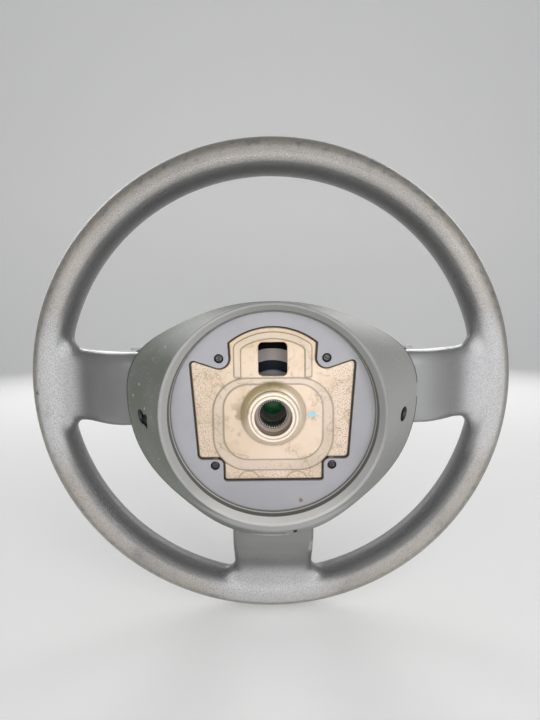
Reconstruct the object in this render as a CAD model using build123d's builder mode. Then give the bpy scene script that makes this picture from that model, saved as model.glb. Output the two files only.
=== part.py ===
"""Three-spoke car steering wheel with its horn pad.

The steering axis is Y. The column side looks along +Y, the driver looks along -Y, +Z is the wheel's top.
The origin is on the axis, at the end face of the splined boss.
"""
import os
from collections import namedtuple
from math import asin, degrees, hypot, radians, sin, sqrt

from build123d import *

os.makedirs("parts", exist_ok=True)

# Rim and its foam covering
RIM_OUTER_D = 370.0
GRIP_WIDTH = 27.6
GRIP_DEPTH = 30.0
RIM_Y = 98.0
CORE_D = 12.0
FOAM_FIT = 0.15

# Spoke covering
SPOKE_ROOT_R = 84.0
SPOKE_THICKNESS = 22.5
SPOKE_EDGE_R = 8.5
SPOKE_BLEND_R = 11.0
SPOKE_SINK = 3.0
SPOKE_COVER = 3.0
SIDE_ROOT_WIDTH = 51.0
SIDE_RIM_WIDTH = 56.5
SIDE_ROOT_Z = 7.4
SIDE_RIM_Z = 2.2
LOWER_ROOT_WIDTH = 59.0
LOWER_RIM_WIDTH = 63.0
SEAT_GAP = 1.0

# Rear cover
LIP_R = 70.0
LIP_WIDTH = 5.0
LIP_SLOPE = 3.0
LIP_EDGE_R = 1.0
LIP_LAND = 1.8
DISC_R = 64.0
DISC_Y = 9.5
COVER_WALL = 2.5
COVER_DEPTH = 46.0
COVER_HALF_WIDTH = 100.0
COVER_WIDEST_Z = 6.0
COVER_TOP = 68.2
COVER_BOTTOM = 99.5
COVER_UPPER = (67.0, 51.3)
COVER_LOWER = (60.0, 74.0)
ACCESS_D = 9.5
SLIT_HEIGHT = 10.0
SLIT_DEPTH = 2.4
SLIT_Z = 6.5
SLIT_REACH = 10.0

# Torn openings in the cover
TEAR_POINTS = ((-0.8, -0.5), (-7.2, -3.8), (-9.2, -2.4), (-8.4, 1.6), (-7.2, 6.4), (-1.5, 4.0))
BOTTOM_HOLE_X = 12.0
BOTTOM_HOLE_WIDTH = 8.5
BOTTOM_HOLE_LENGTH = 14.0
BOTTOM_HOLE_Y = 34.0

# Cover screws
UPPER_SCREW_X = 33.2
UPPER_SCREW_Z = 35.1
LOWER_SCREW_X = 36.9
LOWER_SCREW_Z = -33.4
SCREW_HEAD_D = 5.2
SCREW_HEAD_T = 2.0
SCREW_D = 3.4
SCREW_LENGTH = 11.0
SCREW_FIT = 0.05
SCREW_SINK = 2.6
SCREW_BOSS_D = 9.0
HEAD_GAP = 0.3

# Hub plate
PLATE_R = 62.0
PLATE_T = 3.0
PLATE_Y = 14.5
RAISE = 3.0
CUT_GAP = 0.8
ARCH_TOP = 54.1
NECK_HALF = 27.0
NECK_TOP = 44.5
SCREW_CLEAR_R = 6.8
SCREW_CLEAR_TURN = 105.0
SHOULDER_X = 51.0
SHOULDER_Z = 34.0
WAIST_X = 47.0
NOTCH_Z = -28.8
FOOT_HALF = 31.0
FOOT_Z = -43.2
SHOULDER_R = 2.0
WAIST_R = 2.5
NOTCH_R = 4.0
FOOT_R = 1.5
NECK_CORNER_R = 4.0
PLATE_EDGE_R = 0.8
WINDOW_WIDTH = 18.0
WINDOW_HEIGHT = 21.2
WINDOW_Z = 34.2
WINDOW_CORNER_R = 3.0
STEP_HEIGHT = 1.1
STEP_TAPER = 45.0
OUTER_STEP_HALF = 38.2
OUTER_STEP_TOP = 23.0
OUTER_STEP_BOTTOM = -37.5
OUTER_STEP_R = 22.0
INNER_STEP_HALF = 31.6
INNER_STEP_TOP = 19.3
INNER_STEP_BOTTOM = -30.2
INNER_STEP_R = 16.0
BEAD_INSET = 3.0
BEAD_WIDTH = 4.0
BEAD_HEIGHT = 0.8

# Splined boss
BOSS_R = 16.0
BOSS_FLANGE_R = 20.0
BOSS_STRAIGHT = 4.0
BOSS_CHAMFER = 0.8
BOSS_FLANGE_T = 0.8
BOSS_FLARE_R = -6.0
BOSS_NOSE_R = 14.0
BOSS_LENGTH = 34.0
PILOT_R = 11.4
PILOT_DEPTH = 9.0
TOOTH_COUNT = 36
TOOTH_TIP_R = 8.45
TOOTH_ROOT_R = 9.25
TOOTH_LENGTH = 15.0
TOOTH_HALF = 0.6
TOOTH_OVERCUT = 0.1
STUD_HOLE_R = 6.3
RUN_OUT = 3.0
FACE_GROOVE_R = 13.2
FACE_GROOVE_WIDTH = 0.7
FACE_GROOVE_DEPTH = 0.4
PRESS_GAP = 0.02

# Spoke arms
ARM_WIDTH = 44.0
ARM_T = 3.0
ARM_TAB_CLEAR = 4.4
ARM_CLEAR = 10.0
ARM_BEND_R = 6.0
ARM_NOTCH_CLEAR = 2.3
ARM_NOTCH_STOP = 10.0

# Floating horn plate and its guides
HORN_TRAVEL = 2.4
HORN_Y = 36.0
HORN_T = 2.0
HORN_HALF_WIDTH = 52.0
HORN_TOP = 26.0
HORN_BOTTOM = -37.0
HORN_CORNER_R = 6.0
HORN_OPENING_HALF = 28.0
HORN_OPENING_BOTTOM = -25.0
UPPER_PIN_X = 41.0
UPPER_PIN_Z = 16.0
LOWER_PIN_X = 39.0
LOWER_PIN_Z = -19.0
PIN_D = 6.0
PIN_TAIL_D = 4.0
PIN_TAIL = 2.0
PIN_HEAD_D = 11.0
PIN_HEAD_T = 2.5
PIN_FIT = 0.06
BUSH_D = 8.6
BUSH_FLANGE_D = 12.0
BUSH_FLANGE_T = 1.0
BUSH_PROUD = 0.8
RUN_GAP = 0.3
SPRING_D = 9.2
SPRING_WIRE = 1.3
SPRING_TURNS = 4
CONTACT_X = 14.0
CONTACT_Z = -31.0
CONTACT_D = 5.0
CONTACT_T = 0.8
CONTACT_CLEAR = 0.4

# Side bolts
BOLT_Y = 25.0
BOLT_Z = -5.0
BOLT_D = 5.0
BOLT_HEAD_D = 9.5
BOLT_HEAD_T = 4.0
BOLT_TAIL = 2.0
NUT_D = 10.0
NUT_T = 5.0
EAR_WIDTH = 14.0
EAR_T = 2.0
EAR_X = 58.0
EAR_END = 4.5

# Gas module
BASE_Y = 54.0
BASE_T = 2.0
BASE_HALF_WIDTH = 60.0
BASE_TOP = 50.0
BASE_BOTTOM = -52.0
BASE_CORNER_R = 8.0
BASE_RIM = 12.0
INFLATOR_FLANGE_R = 47.0
INFLATOR_FLANGE_T = 2.0
CLOSURE_R = 36.3
CLOSURE_Y = 50.0
GROOVE_OUTER_R = 27.0
GROOVE_INNER_R = 19.9
GROOVE_DEPTH = 2.5
CAN_R = 31.0
CAN_LENGTH = 28.0
CAN_EDGE_R = 5.0
SOCKET_R = 6.0
SOCKET_DEPTH = 4.0
CAN_GAP = 0.4
LABEL_T = 0.25
LABEL_MARGIN = 0.6
LABEL_LOW = 8.0
CONNECTOR_WIDTH = 14.0
CONNECTOR_LENGTH = 25.0
CONNECTOR_T = 5.0
CONNECTOR_EDGE_R = 1.5
STUD_PITCH_R = 42.0
STUD_D = 5.0
STUD_TAIL = 6.0
RING_T = 2.0
RING_INNER_R = 34.0
RING_OUTER_R = 46.5
MODULE_NUT_D = 9.0
MODULE_NUT_T = 4.0
CUSHION_GAP = 1.0
CUSHION_ROOM = 9.0
CUSHION_EDGE_R = 6.0

# Horn pad
PAD_INSET = 3.0
PAD_MARGIN = 0.6
PAD_WALL = 3.0
PAD_CROWN_Y = 103.0
PAD_CROWN_R = 430.0
PAD_EDGE_R = 5.0
WING_HALF = 99.0
WING_TOP = 32.5
WING_BOTTOM = -18.0
WING_CORNER_R = 3.0
WING_EDGE_R = 1.5
WING_SINK = 8.0
SKIRT_T = 3.0
SKIRT_FIT = 0.2
SKIRT_Y = 57.0
RIVET_D = 4.0
RIVET_HEAD_D = 7.0
RIVET_HEAD_T = 1.2
RIVET_SPREAD = 26.0
RIVET_Y = 61.5

# Sizes that follow from the driving dimensions
RIM_R = (RIM_OUTER_D - GRIP_WIDTH) / 2
RIM_REAR_Y = RIM_Y - GRIP_DEPTH / 2
RIM_FRONT_Y = RIM_Y + GRIP_DEPTH / 2
SPOKE_REAR_Y = COVER_DEPTH + SEAT_GAP
SPOKE_FRONT_Y = SPOKE_REAR_Y + SPOKE_THICKNESS
PLATE_FRONT_Y = PLATE_Y + PLATE_T
RAISED_Y = PLATE_Y - RAISE
HOLLOW_Y = RAISED_Y + PLATE_T
BOSS_SEAT_Y = RAISED_Y - 2 * STEP_HEIGHT
DISC_FRONT_Y = DISC_Y + COVER_WALL
HORN_FRONT_Y = HORN_Y + HORN_T
BUSH_REAR_Y = HORN_Y - BUSH_FLANGE_T
BUSH_FRONT_Y = HORN_FRONT_Y + BUSH_PROUD
BASE_FRONT_Y = BASE_Y + BASE_T
LEG_X = EAR_X + EAR_T
LEG_OUTER_X = LEG_X + EAR_T
EAR_END_Y = BOLT_Y - EAR_END
CUSHION_FRONT_Y = PAD_CROWN_Y - PAD_WALL - CUSHION_ROOM
CONTACT_GAP = HORN_TRAVEL + CONTACT_CLEAR
PAD_CLEAR = HORN_TRAVEL + PAD_MARGIN
SAME_POINT = 0.01

ARM_START_R = UPPER_PIN_X + SPRING_D / 2 + ARM_TAB_CLEAR

# A spoke: its way out, its middle and width at hub and rim, and how far the rear cover reaches out there
Spoke = namedtuple("Spoke", "direction root_middle rim_middle root_width rim_width cover_reach")
SIDE_WIDTHS = (SIDE_ROOT_WIDTH, SIDE_RIM_WIDTH)
RIGHT_SPOKE = Spoke(Vector(1, 0, 0), SIDE_ROOT_Z, SIDE_RIM_Z, *SIDE_WIDTHS, COVER_HALF_WIDTH)
LEFT_SPOKE = Spoke(Vector(-1, 0, 0), -SIDE_ROOT_Z, -SIDE_RIM_Z, *SIDE_WIDTHS, COVER_HALF_WIDTH)
LOWER_SPOKE = Spoke(Vector(0, 0, -1), 0.0, 0.0, LOWER_ROOT_WIDTH, LOWER_RIM_WIDTH, COVER_BOTTOM)
SPOKES = (RIGHT_SPOKE, LEFT_SPOKE, LOWER_SPOKE)

# Stations of a spoke from hub to rim: share of the way out, share of the rise of the rear and of the
# front face to the rim
SPOKE_STATIONS = (
    (0.00, 0.00, 0.00),
    (0.25, 0.09, 0.08),
    (0.45, 0.36, 0.32),
    (0.68, 0.80, 0.70),
    (0.84, 0.97, 0.93),
    (1.00, 1.00, 1.00),
)
# Stations of a spoke's strap past its upper bend: share of the way to the rim and share of the rise
ARM_STATIONS = ((0.25, 0.10), (0.75, 0.85), (1.00, 1.00))


def both_sides(*points):
    """Places to the left and to the right of the wheel's middle."""
    return [(side * x, z) for x, z in points for side in (-1, 1)]


COVER_SCREWS = both_sides((UPPER_SCREW_X, UPPER_SCREW_Z), (LOWER_SCREW_X, LOWER_SCREW_Z))
GUIDE_PINS = both_sides((UPPER_PIN_X, UPPER_PIN_Z), (LOWER_PIN_X, LOWER_PIN_Z))
CONTACTS = both_sides((CONTACT_X, CONTACT_Z))
STUD_ACROSS = STUD_PITCH_R * sin(radians(45))
STUDS = both_sides((STUD_ACROSS, STUD_ACROSS), (STUD_ACROSS, -STUD_ACROSS))


def wheel_plane(y):
    """Plane square to the steering axis at depth y; positive extrusions go towards the column."""
    return Plane.XZ.offset(-y)


def spoke_plane(direction):
    """Plane through the axis along a spoke: local x runs out along the spoke, local y is +Y."""
    return Plane(origin=(0, 0, 0), x_dir=direction, z_dir=direction.cross(Vector(0, 1, 0)))


def spoke_form(spoke, margin=0.0):
    """Foam body of one spoke, grown by a margin all round."""
    end_r = RIM_R - SPOKE_SINK
    with BuildPart() as form:
        for out, rear_rise, front_rise in SPOKE_STATIONS:
            radius = SPOKE_ROOT_R + out * (end_r - SPOKE_ROOT_R)
            rear = SPOKE_REAR_Y + rear_rise * (RIM_REAR_Y + SPOKE_COVER - SPOKE_REAR_Y) - margin
            front = SPOKE_FRONT_Y + front_rise * (RIM_FRONT_Y - SPOKE_COVER - SPOKE_FRONT_Y) + margin
            middle = spoke.root_middle + out * (spoke.rim_middle - spoke.root_middle)
            width = spoke.root_width + out * (spoke.rim_width - spoke.root_width) + 2 * margin
            with BuildSketch(Plane(origin=spoke.direction * radius, x_dir=(0, 1, 0), z_dir=spoke.direction)):
                with Locations(((rear + front) / 2, middle)):
                    RectangleRounded(front - rear, width, SPOKE_EDGE_R + margin)
        loft()
    return form.part


def cover_inside(reach, y):
    """Radius of the rear cover's inner wall at depth y, where its front edge reaches out so far."""
    return LIP_R - COVER_WALL + (reach - LIP_R) * y / COVER_DEPTH


def arm_form(spoke, notched=False, margin=0.0):
    """Bent steel strap from the hub plate's front face to the rim core, grown by a margin."""
    tab_y = PLATE_FRONT_Y + ARM_T / 2
    root_y = SPOKE_REAR_Y + SPOKE_THICKNESS / 2
    knee_r = cover_inside(spoke.cover_reach, tab_y) - ARM_CLEAR
    top_r = cover_inside(spoke.cover_reach, root_y) - ARM_CLEAR
    rim_end = RIM_R - CORE_D / 4
    bends = [(top_r + out * (rim_end - top_r), root_y + up * (RIM_Y - root_y)) for out, up in ARM_STATIONS]
    with BuildPart() as form:
        with BuildSketch(spoke_plane(spoke.direction)):
            with BuildLine():
                FilletPolyline(
                    (ARM_START_R, tab_y),
                    (knee_r, tab_y),
                    (top_r, root_y),
                    *bends,
                    radius=ARM_BEND_R,
                )
            trace(line_width=ARM_T + 2 * margin)
        extrude(amount=ARM_WIDTH / 2 + margin, both=True)
    with BuildPart() as strap:
        add(form.part.translate(spoke.direction.cross(Vector(0, 1, 0)) * spoke.root_middle))
        if notched:
            with BuildSketch(wheel_plane(SPOKE_FRONT_Y)):
                with Locations((0, BOLT_Z + EAR_WIDTH / 2 + ARM_NOTCH_CLEAR)):
                    Rectangle(2 * (top_r - ARM_NOTCH_STOP), ARM_WIDTH, align=(Align.CENTER, Align.MAX))
            extrude(amount=SPOKE_FRONT_Y, mode=Mode.SUBTRACT)
        if not margin:
            add(rim_ring(CORE_D / 2 + PRESS_GAP), mode=Mode.SUBTRACT)
    return strap.part


def rim_ring(radius):
    """Round ring along the rim's centre line."""
    with BuildPart() as ring:
        with BuildSketch(Plane.XY):
            with Locations((RIM_R, RIM_Y)):
                Circle(radius)
        revolve(axis=Axis.Y)
    return ring.part


def meets_rim(edge):
    """Test for the seam between a spoke and the ring."""
    return hypot(edge.center().X, edge.center().Z) > RIM_R - GRIP_WIDTH


def lip_outline(y, radius):
    """Circle of four arcs, matched to the four curves of the cover's outline."""
    with BuildSketch(wheel_plane(y)) as outline:
        with BuildLine():
            for start in (90, 0, -90, -180):
                CenterArc((0, 0), radius, start, -90)
        make_face()
    return outline.sketch


def cover_outline(y, inset):
    """Lens-shaped front edge of the rear cover, drawn inset from its outer size."""
    half, top, bottom = COVER_HALF_WIDTH - inset, COVER_TOP - inset, COVER_BOTTOM - inset
    upper = Vector(*COVER_UPPER) - Vector(*COVER_UPPER).normalized() * inset
    lower = Vector(*COVER_LOWER) - Vector(*COVER_LOWER).normalized() * inset
    with BuildSketch(wheel_plane(y)) as outline:
        with BuildLine():
            Spline((0, top), (upper.X, upper.Y), (half, COVER_WIDEST_Z), tangents=((1, 0), (0, -1)))
            Spline((half, COVER_WIDEST_Z), (lower.X, -lower.Y), (0, -bottom), tangents=((0, -1), (-1, 0)))
            Spline((0, -bottom), (-lower.X, -lower.Y), (-half, COVER_WIDEST_Z), tangents=((-1, 0), (0, 1)))
            Spline((-half, COVER_WIDEST_Z), (-upper.X, upper.Y), (0, top), tangents=((0, 1), (1, 0)))
        make_face()
    return outline.sketch


def near(x, z):
    """Test for the two mirrored corners of a sketch at (x, z) and (-x, z)."""
    return lambda vertex: abs(abs(vertex.X) - x) < SAME_POINT and abs(vertex.Y - z) < SAME_POINT


def plate_outline(y, growth):
    """Raised face of the hub plate: arched neck, shoulders notched round the screws, narrow foot."""
    arch_r = (NECK_HALF**2 + (ARCH_TOP - NECK_TOP) ** 2) / (2 * (ARCH_TOP - NECK_TOP))
    with BuildSketch(wheel_plane(y)) as outline:
        with BuildLine():
            arch = CenterArc((0, ARCH_TOP - arch_r), arch_r, 90, -degrees(asin(NECK_HALF / arch_r)))
            Line(arch @ 1, (UPPER_SCREW_X - SCREW_CLEAR_R, UPPER_SCREW_Z))
            hollow = CenterArc((UPPER_SCREW_X, UPPER_SCREW_Z), SCREW_CLEAR_R, 180, SCREW_CLEAR_TURN)
            Polyline(
                hollow @ 1,
                (SHOULDER_X, SHOULDER_Z),
                (WAIST_X, NOTCH_Z),
                (FOOT_HALF, NOTCH_Z),
                (FOOT_HALF, FOOT_Z),
                (0, FOOT_Z),
            )
            mirror(about=Plane.YZ)
        make_face()
        fillet(outline.vertices().filter_by(near(SHOULDER_X, SHOULDER_Z)), SHOULDER_R)
        fillet(outline.vertices().filter_by(near(WAIST_X, NOTCH_Z)), WAIST_R)
        fillet(outline.vertices().filter_by(near(FOOT_HALF, NOTCH_Z)), NOTCH_R)
        fillet(outline.vertices().filter_by(near(FOOT_HALF, FOOT_Z)), FOOT_R)
        if growth:
            offset(amount=growth)
    return outline.sketch


def neck_panel(y, inset):
    """Arched panel round the window, drawn inset from the neck's edge."""
    half = NECK_HALF - inset
    arch_r = (NECK_HALF**2 + (ARCH_TOP - NECK_TOP) ** 2) / (2 * (ARCH_TOP - NECK_TOP))
    centre_z = ARCH_TOP - arch_r
    inner_r = arch_r - inset
    side_top = centre_z + sqrt(inner_r**2 - half**2)
    with BuildSketch(wheel_plane(y)) as outline:
        with BuildLine():
            ThreePointArc((-half, side_top), (0, ARCH_TOP - inset), (half, side_top))
            Polyline((half, side_top), (half, OUTER_STEP_TOP), (-half, OUTER_STEP_TOP), (-half, side_top))
        make_face()
        fillet(outline.vertices().filter_by(near(half, side_top)), NECK_CORNER_R)
    return outline.sketch


def base_outline(y, growth):
    """Rounded outline of the module's tray."""
    with BuildSketch(wheel_plane(y)) as outline:
        with Locations((0, (BASE_TOP + BASE_BOTTOM) / 2)):
            RectangleRounded(
                2 * (BASE_HALF_WIDTH + growth), BASE_TOP - BASE_BOTTOM + 2 * growth, BASE_CORNER_R + growth
            )
    return outline.sketch


def rivet_planes():
    """Planes on the inner faces of the tray's rim, facing out, one for each rivet."""
    inner_x = BASE_HALF_WIDTH - BASE_T
    middle_z = (BASE_TOP + BASE_BOTTOM) / 2
    planes = []
    for spread in (-RIVET_SPREAD, RIVET_SPREAD):
        for side in (-1, 1):
            planes.append(Plane((side * inner_x, RIVET_Y, middle_z + spread), z_dir=(side, 0, 0)))
        planes.append(Plane((spread, RIVET_Y, BASE_TOP - BASE_T), z_dir=(0, 0, 1)))
        planes.append(Plane((spread, RIVET_Y, BASE_BOTTOM + BASE_T), z_dir=(0, 0, -1)))
    return planes


TOWARDS_COLUMN = (0, -1, 0)
TOWARDS_DRIVER = (0, 1, 0)

# Steel ring inside the rim
with BuildPart() as rim_core:
    add(rim_ring(CORE_D / 2))
rim_core.part.label = "rim_core"
export_step(rim_core.part, "parts/rim_core.step")

# Bent straps inside the spokes; the side straps are notched for the module's bolts
with BuildPart() as right_spoke_arm:
    add(arm_form(RIGHT_SPOKE, notched=True))
right_spoke_arm.part.label = "right_spoke_arm"
export_step(right_spoke_arm.part, "parts/right_spoke_arm.step")

with BuildPart() as left_spoke_arm:
    add(arm_form(LEFT_SPOKE, notched=True))
left_spoke_arm.part.label = "left_spoke_arm"
export_step(left_spoke_arm.part, "parts/left_spoke_arm.step")

with BuildPart() as lower_spoke_arm:
    add(arm_form(LOWER_SPOKE))
lower_spoke_arm.part.label = "lower_spoke_arm"
export_step(lower_spoke_arm.part, "parts/lower_spoke_arm.step")

# One foam moulding over the ring and the three straps, rounded where a spoke meets the ring
foam_spokes = [spoke_form(spoke) for spoke in SPOKES]
arm_channels = [arm_form(spoke, margin=FOAM_FIT) for spoke in SPOKES]
core_channel = rim_ring(CORE_D / 2 + FOAM_FIT)
with BuildPart() as rim_grip:
    with BuildSketch(Plane.XY):
        with Locations((RIM_R, RIM_Y)):
            Ellipse(GRIP_WIDTH / 2, GRIP_DEPTH / 2)
    revolve(axis=Axis.Y)
    for foam_spoke in foam_spokes:
        add(foam_spoke)
    fillet(rim_grip.edges().filter_by(GeomType.BSPLINE).filter_by(meets_rim), SPOKE_BLEND_R)
    for channel in arm_channels:
        add(channel, mode=Mode.SUBTRACT)
    add(core_channel, mode=Mode.SUBTRACT)
rim_grip.part.label = "rim_grip"
export_step(rim_grip.part, "parts/rim_grip.step")

# Pressed hub plate: round flange, raised face, two steps up to the boss, bead round the window
with BuildPart() as hub_plate:
    with BuildSketch(wheel_plane(PLATE_FRONT_Y)):
        Circle(PLATE_R)
    extrude(amount=PLATE_T)
    extrude(plate_outline(PLATE_FRONT_Y, 0.0), amount=PLATE_FRONT_Y - RAISED_Y, dir=TOWARDS_COLUMN)
    fillet(hub_plate.faces().sort_by(Axis.Y)[0].edges(), PLATE_EDGE_R)
    extrude(
        plate_outline(PLATE_FRONT_Y, -PLATE_T),
        amount=PLATE_FRONT_Y - HOLLOW_Y,
        dir=TOWARDS_COLUMN,
        mode=Mode.SUBTRACT,
    )
    with BuildSketch(wheel_plane(RAISED_Y)):
        with Locations((0, (OUTER_STEP_TOP + OUTER_STEP_BOTTOM) / 2)):
            RectangleRounded(2 * OUTER_STEP_HALF, OUTER_STEP_TOP - OUTER_STEP_BOTTOM, OUTER_STEP_R)
    extrude(amount=STEP_HEIGHT, taper=STEP_TAPER)
    with BuildSketch(wheel_plane(RAISED_Y - STEP_HEIGHT)):
        with Locations((0, (INNER_STEP_TOP + INNER_STEP_BOTTOM) / 2)):
            RectangleRounded(2 * INNER_STEP_HALF, INNER_STEP_TOP - INNER_STEP_BOTTOM, INNER_STEP_R)
    extrude(amount=STEP_HEIGHT, taper=STEP_TAPER)
    with BuildSketch(wheel_plane(RAISED_Y)):
        add(neck_panel(RAISED_Y, BEAD_INSET))
        add(neck_panel(RAISED_Y, BEAD_INSET + BEAD_WIDTH), mode=Mode.SUBTRACT)
    extrude(amount=BEAD_HEIGHT)
    with BuildSketch(wheel_plane(PLATE_FRONT_Y)):
        with Locations((0, WINDOW_Z)):
            RectangleRounded(WINDOW_WIDTH, WINDOW_HEIGHT, WINDOW_CORNER_R)
        Circle(BOSS_NOSE_R + PRESS_GAP)
        with Locations(*COVER_SCREWS):
            Circle(SCREW_D / 2 + SCREW_FIT)
    extrude(amount=PLATE_FRONT_Y, mode=Mode.SUBTRACT)
    with BuildSketch(wheel_plane(HOLLOW_Y)):
        with Locations(*GUIDE_PINS):
            Circle(PIN_TAIL_D / 2 + PRESS_GAP)
    extrude(amount=PIN_TAIL, mode=Mode.SUBTRACT)
hub_plate.part.label = "hub_plate"
export_step(hub_plate.part, "parts/hub_plate.step")

# Turned boss with a pilot bore, a serration for the shaft and a hole for its threaded end
TOOTH_END_Y = PILOT_DEPTH + TOOTH_LENGTH
with BuildPart() as splined_boss:
    with BuildSketch(Plane.XY):
        with BuildLine():
            flare = Line((BOSS_R, BOSS_CHAMFER), (BOSS_R, BOSS_STRAIGHT))
            foot = RadiusArc(flare @ 1, (BOSS_FLANGE_R, BOSS_SEAT_Y - BOSS_FLANGE_T), BOSS_FLARE_R)
            Polyline(
                foot @ 1,
                (BOSS_FLANGE_R, BOSS_SEAT_Y),
                (BOSS_NOSE_R, BOSS_SEAT_Y),
                (BOSS_NOSE_R, BOSS_LENGTH - BOSS_CHAMFER),
                (BOSS_NOSE_R - BOSS_CHAMFER, BOSS_LENGTH),
                (STUD_HOLE_R, BOSS_LENGTH),
                (STUD_HOLE_R, TOOTH_END_Y + RUN_OUT),
                (TOOTH_TIP_R, TOOTH_END_Y),
                (TOOTH_TIP_R, PILOT_DEPTH),
                (PILOT_R, PILOT_DEPTH),
                (PILOT_R, 0),
                (BOSS_R - BOSS_CHAMFER, 0),
                flare @ 0,
            )
        make_face()
    revolve(axis=Axis.Y)
    with BuildSketch(wheel_plane(TOOTH_END_Y)):
        with PolarLocations(0, TOOTH_COUNT):
            Polygon(
                (TOOTH_TIP_R - TOOTH_OVERCUT, -TOOTH_HALF),
                (TOOTH_ROOT_R, 0),
                (TOOTH_TIP_R - TOOTH_OVERCUT, TOOTH_HALF),
                align=None,
            )
    extrude(amount=TOOTH_LENGTH, mode=Mode.SUBTRACT)
    with BuildSketch(wheel_plane(0)):
        Circle(FACE_GROOVE_R + FACE_GROOVE_WIDTH)
        Circle(FACE_GROOVE_R, mode=Mode.SUBTRACT)
    extrude(amount=-FACE_GROOVE_DEPTH, mode=Mode.SUBTRACT)
splined_boss.part.label = "splined_boss"
export_step(splined_boss.part, "parts/splined_boss.step")

# Moulded rear cover: round lip, recessed disc, shell that spreads to the lens-shaped front edge
with BuildPart() as cover_cavity:
    loft([lip_outline(0, LIP_R - COVER_WALL), cover_outline(COVER_DEPTH, COVER_WALL)])
    split(bisect_by=wheel_plane(DISC_FRONT_Y), keep=Keep.BOTTOM)
with BuildPart() as rear_cover:
    loft([lip_outline(0, LIP_R), cover_outline(COVER_DEPTH, 0)])
    fillet(rear_cover.faces().sort_by(Axis.Y)[0].edges(), LIP_EDGE_R)
    with BuildSketch(Plane.XY):
        with BuildLine():
            Polyline(
                (0, -LIP_EDGE_R),
                (LIP_R - LIP_LAND, -LIP_EDGE_R),
                (LIP_R - LIP_LAND, 0),
                (LIP_R - LIP_WIDTH, LIP_SLOPE),
                (DISC_R, DISC_Y),
                (0, DISC_Y),
                close=True,
            )
        make_face()
    revolve(axis=Axis.Y, mode=Mode.SUBTRACT)
    add(cover_cavity.part, mode=Mode.SUBTRACT)
    with BuildSketch(wheel_plane(PLATE_Y)):
        with Locations(*COVER_SCREWS):
            Circle(SCREW_BOSS_D / 2)
    extrude(amount=PLATE_Y - DISC_FRONT_Y)
    extrude(
        plate_outline(DISC_FRONT_Y, CUT_GAP), amount=COVER_WALL, dir=TOWARDS_COLUMN, mode=Mode.SUBTRACT
    )
    with BuildSketch(wheel_plane(PLATE_Y)):
        with Locations(*COVER_SCREWS):
            Circle(SCREW_D / 2 + HEAD_GAP)
    extrude(amount=PLATE_Y, mode=Mode.SUBTRACT)
    with BuildSketch(wheel_plane(DISC_Y + SCREW_SINK)):
        with Locations(*COVER_SCREWS):
            Circle(SCREW_HEAD_D / 2 + HEAD_GAP)
    extrude(amount=SCREW_SINK, mode=Mode.SUBTRACT)
    with BuildSketch(Plane((DISC_R, BOLT_Y, BOLT_Z), x_dir=(0, 1, 0), z_dir=(1, 0, 0))):
        Circle(ACCESS_D / 2)
    extrude(amount=COVER_HALF_WIDTH - DISC_R, mode=Mode.SUBTRACT)
    with BuildSketch(Plane((-DISC_R, BOLT_Y, BOLT_Z), x_dir=(0, 1, 0), z_dir=(-1, 0, 0))):
        Circle(ACCESS_D / 2)
        Polygon(*TEAR_POINTS, align=None)
    extrude(amount=COVER_HALF_WIDTH - DISC_R, mode=Mode.SUBTRACT)
    with BuildSketch(Plane.XY.offset(-LIP_R)):
        with Locations((BOTTOM_HOLE_X, BOTTOM_HOLE_Y)):
            RectangleRounded(BOTTOM_HOLE_WIDTH, BOTTOM_HOLE_LENGTH, BOTTOM_HOLE_WIDTH / 3)
    extrude(amount=-COVER_BOTTOM, mode=Mode.SUBTRACT)
    with BuildSketch(Plane.YZ.offset(COVER_HALF_WIDTH)):
        with Locations((COVER_DEPTH, SLIT_Z)):
            Rectangle(2 * SLIT_DEPTH, SLIT_HEIGHT)
    extrude(amount=-SLIT_REACH, mode=Mode.SUBTRACT)
rear_cover.part.label = "rear_cover"
export_step(rear_cover.part, "parts/rear_cover.step")

# Four tapping screws sunk in the disc
SCREW_SEAT_Y = DISC_Y + SCREW_SINK
with BuildPart() as cover_screws:
    with BuildSketch(wheel_plane(SCREW_SEAT_Y)):
        with Locations(*COVER_SCREWS):
            Circle(SCREW_HEAD_D / 2)
    extrude(amount=SCREW_HEAD_T)
    fillet(cover_screws.faces().group_by(Axis.Y)[0].edges(), SCREW_HEAD_T / 2)
    with BuildSketch(wheel_plane(SCREW_SEAT_Y)):
        with Locations(*COVER_SCREWS):
            Circle(SCREW_D / 2)
    extrude(amount=-SCREW_LENGTH)
cover_screws.part.label = "cover_screws"
export_step(cover_screws.part, "parts/cover_screws.step")

# Guide pins of the floating horn plate, headed on the driver's side
PIN_HEAD_Y = BUSH_FRONT_Y + RUN_GAP
with BuildPart() as horn_guide_pins:
    with BuildSketch(wheel_plane(PIN_HEAD_Y)):
        with Locations(*GUIDE_PINS):
            Circle(PIN_D / 2)
    extrude(amount=PIN_HEAD_Y - HOLLOW_Y)
    with BuildSketch(wheel_plane(HOLLOW_Y)):
        with Locations(*GUIDE_PINS):
            Circle(PIN_TAIL_D / 2)
    extrude(amount=PIN_TAIL - PRESS_GAP)
    with BuildSketch(wheel_plane(PIN_HEAD_Y)):
        with Locations(*GUIDE_PINS):
            Circle(PIN_HEAD_D / 2)
    extrude(amount=-PIN_HEAD_T)
horn_guide_pins.part.label = "horn_guide_pins"
export_step(horn_guide_pins.part, "parts/horn_guide_pins.step")

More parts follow.
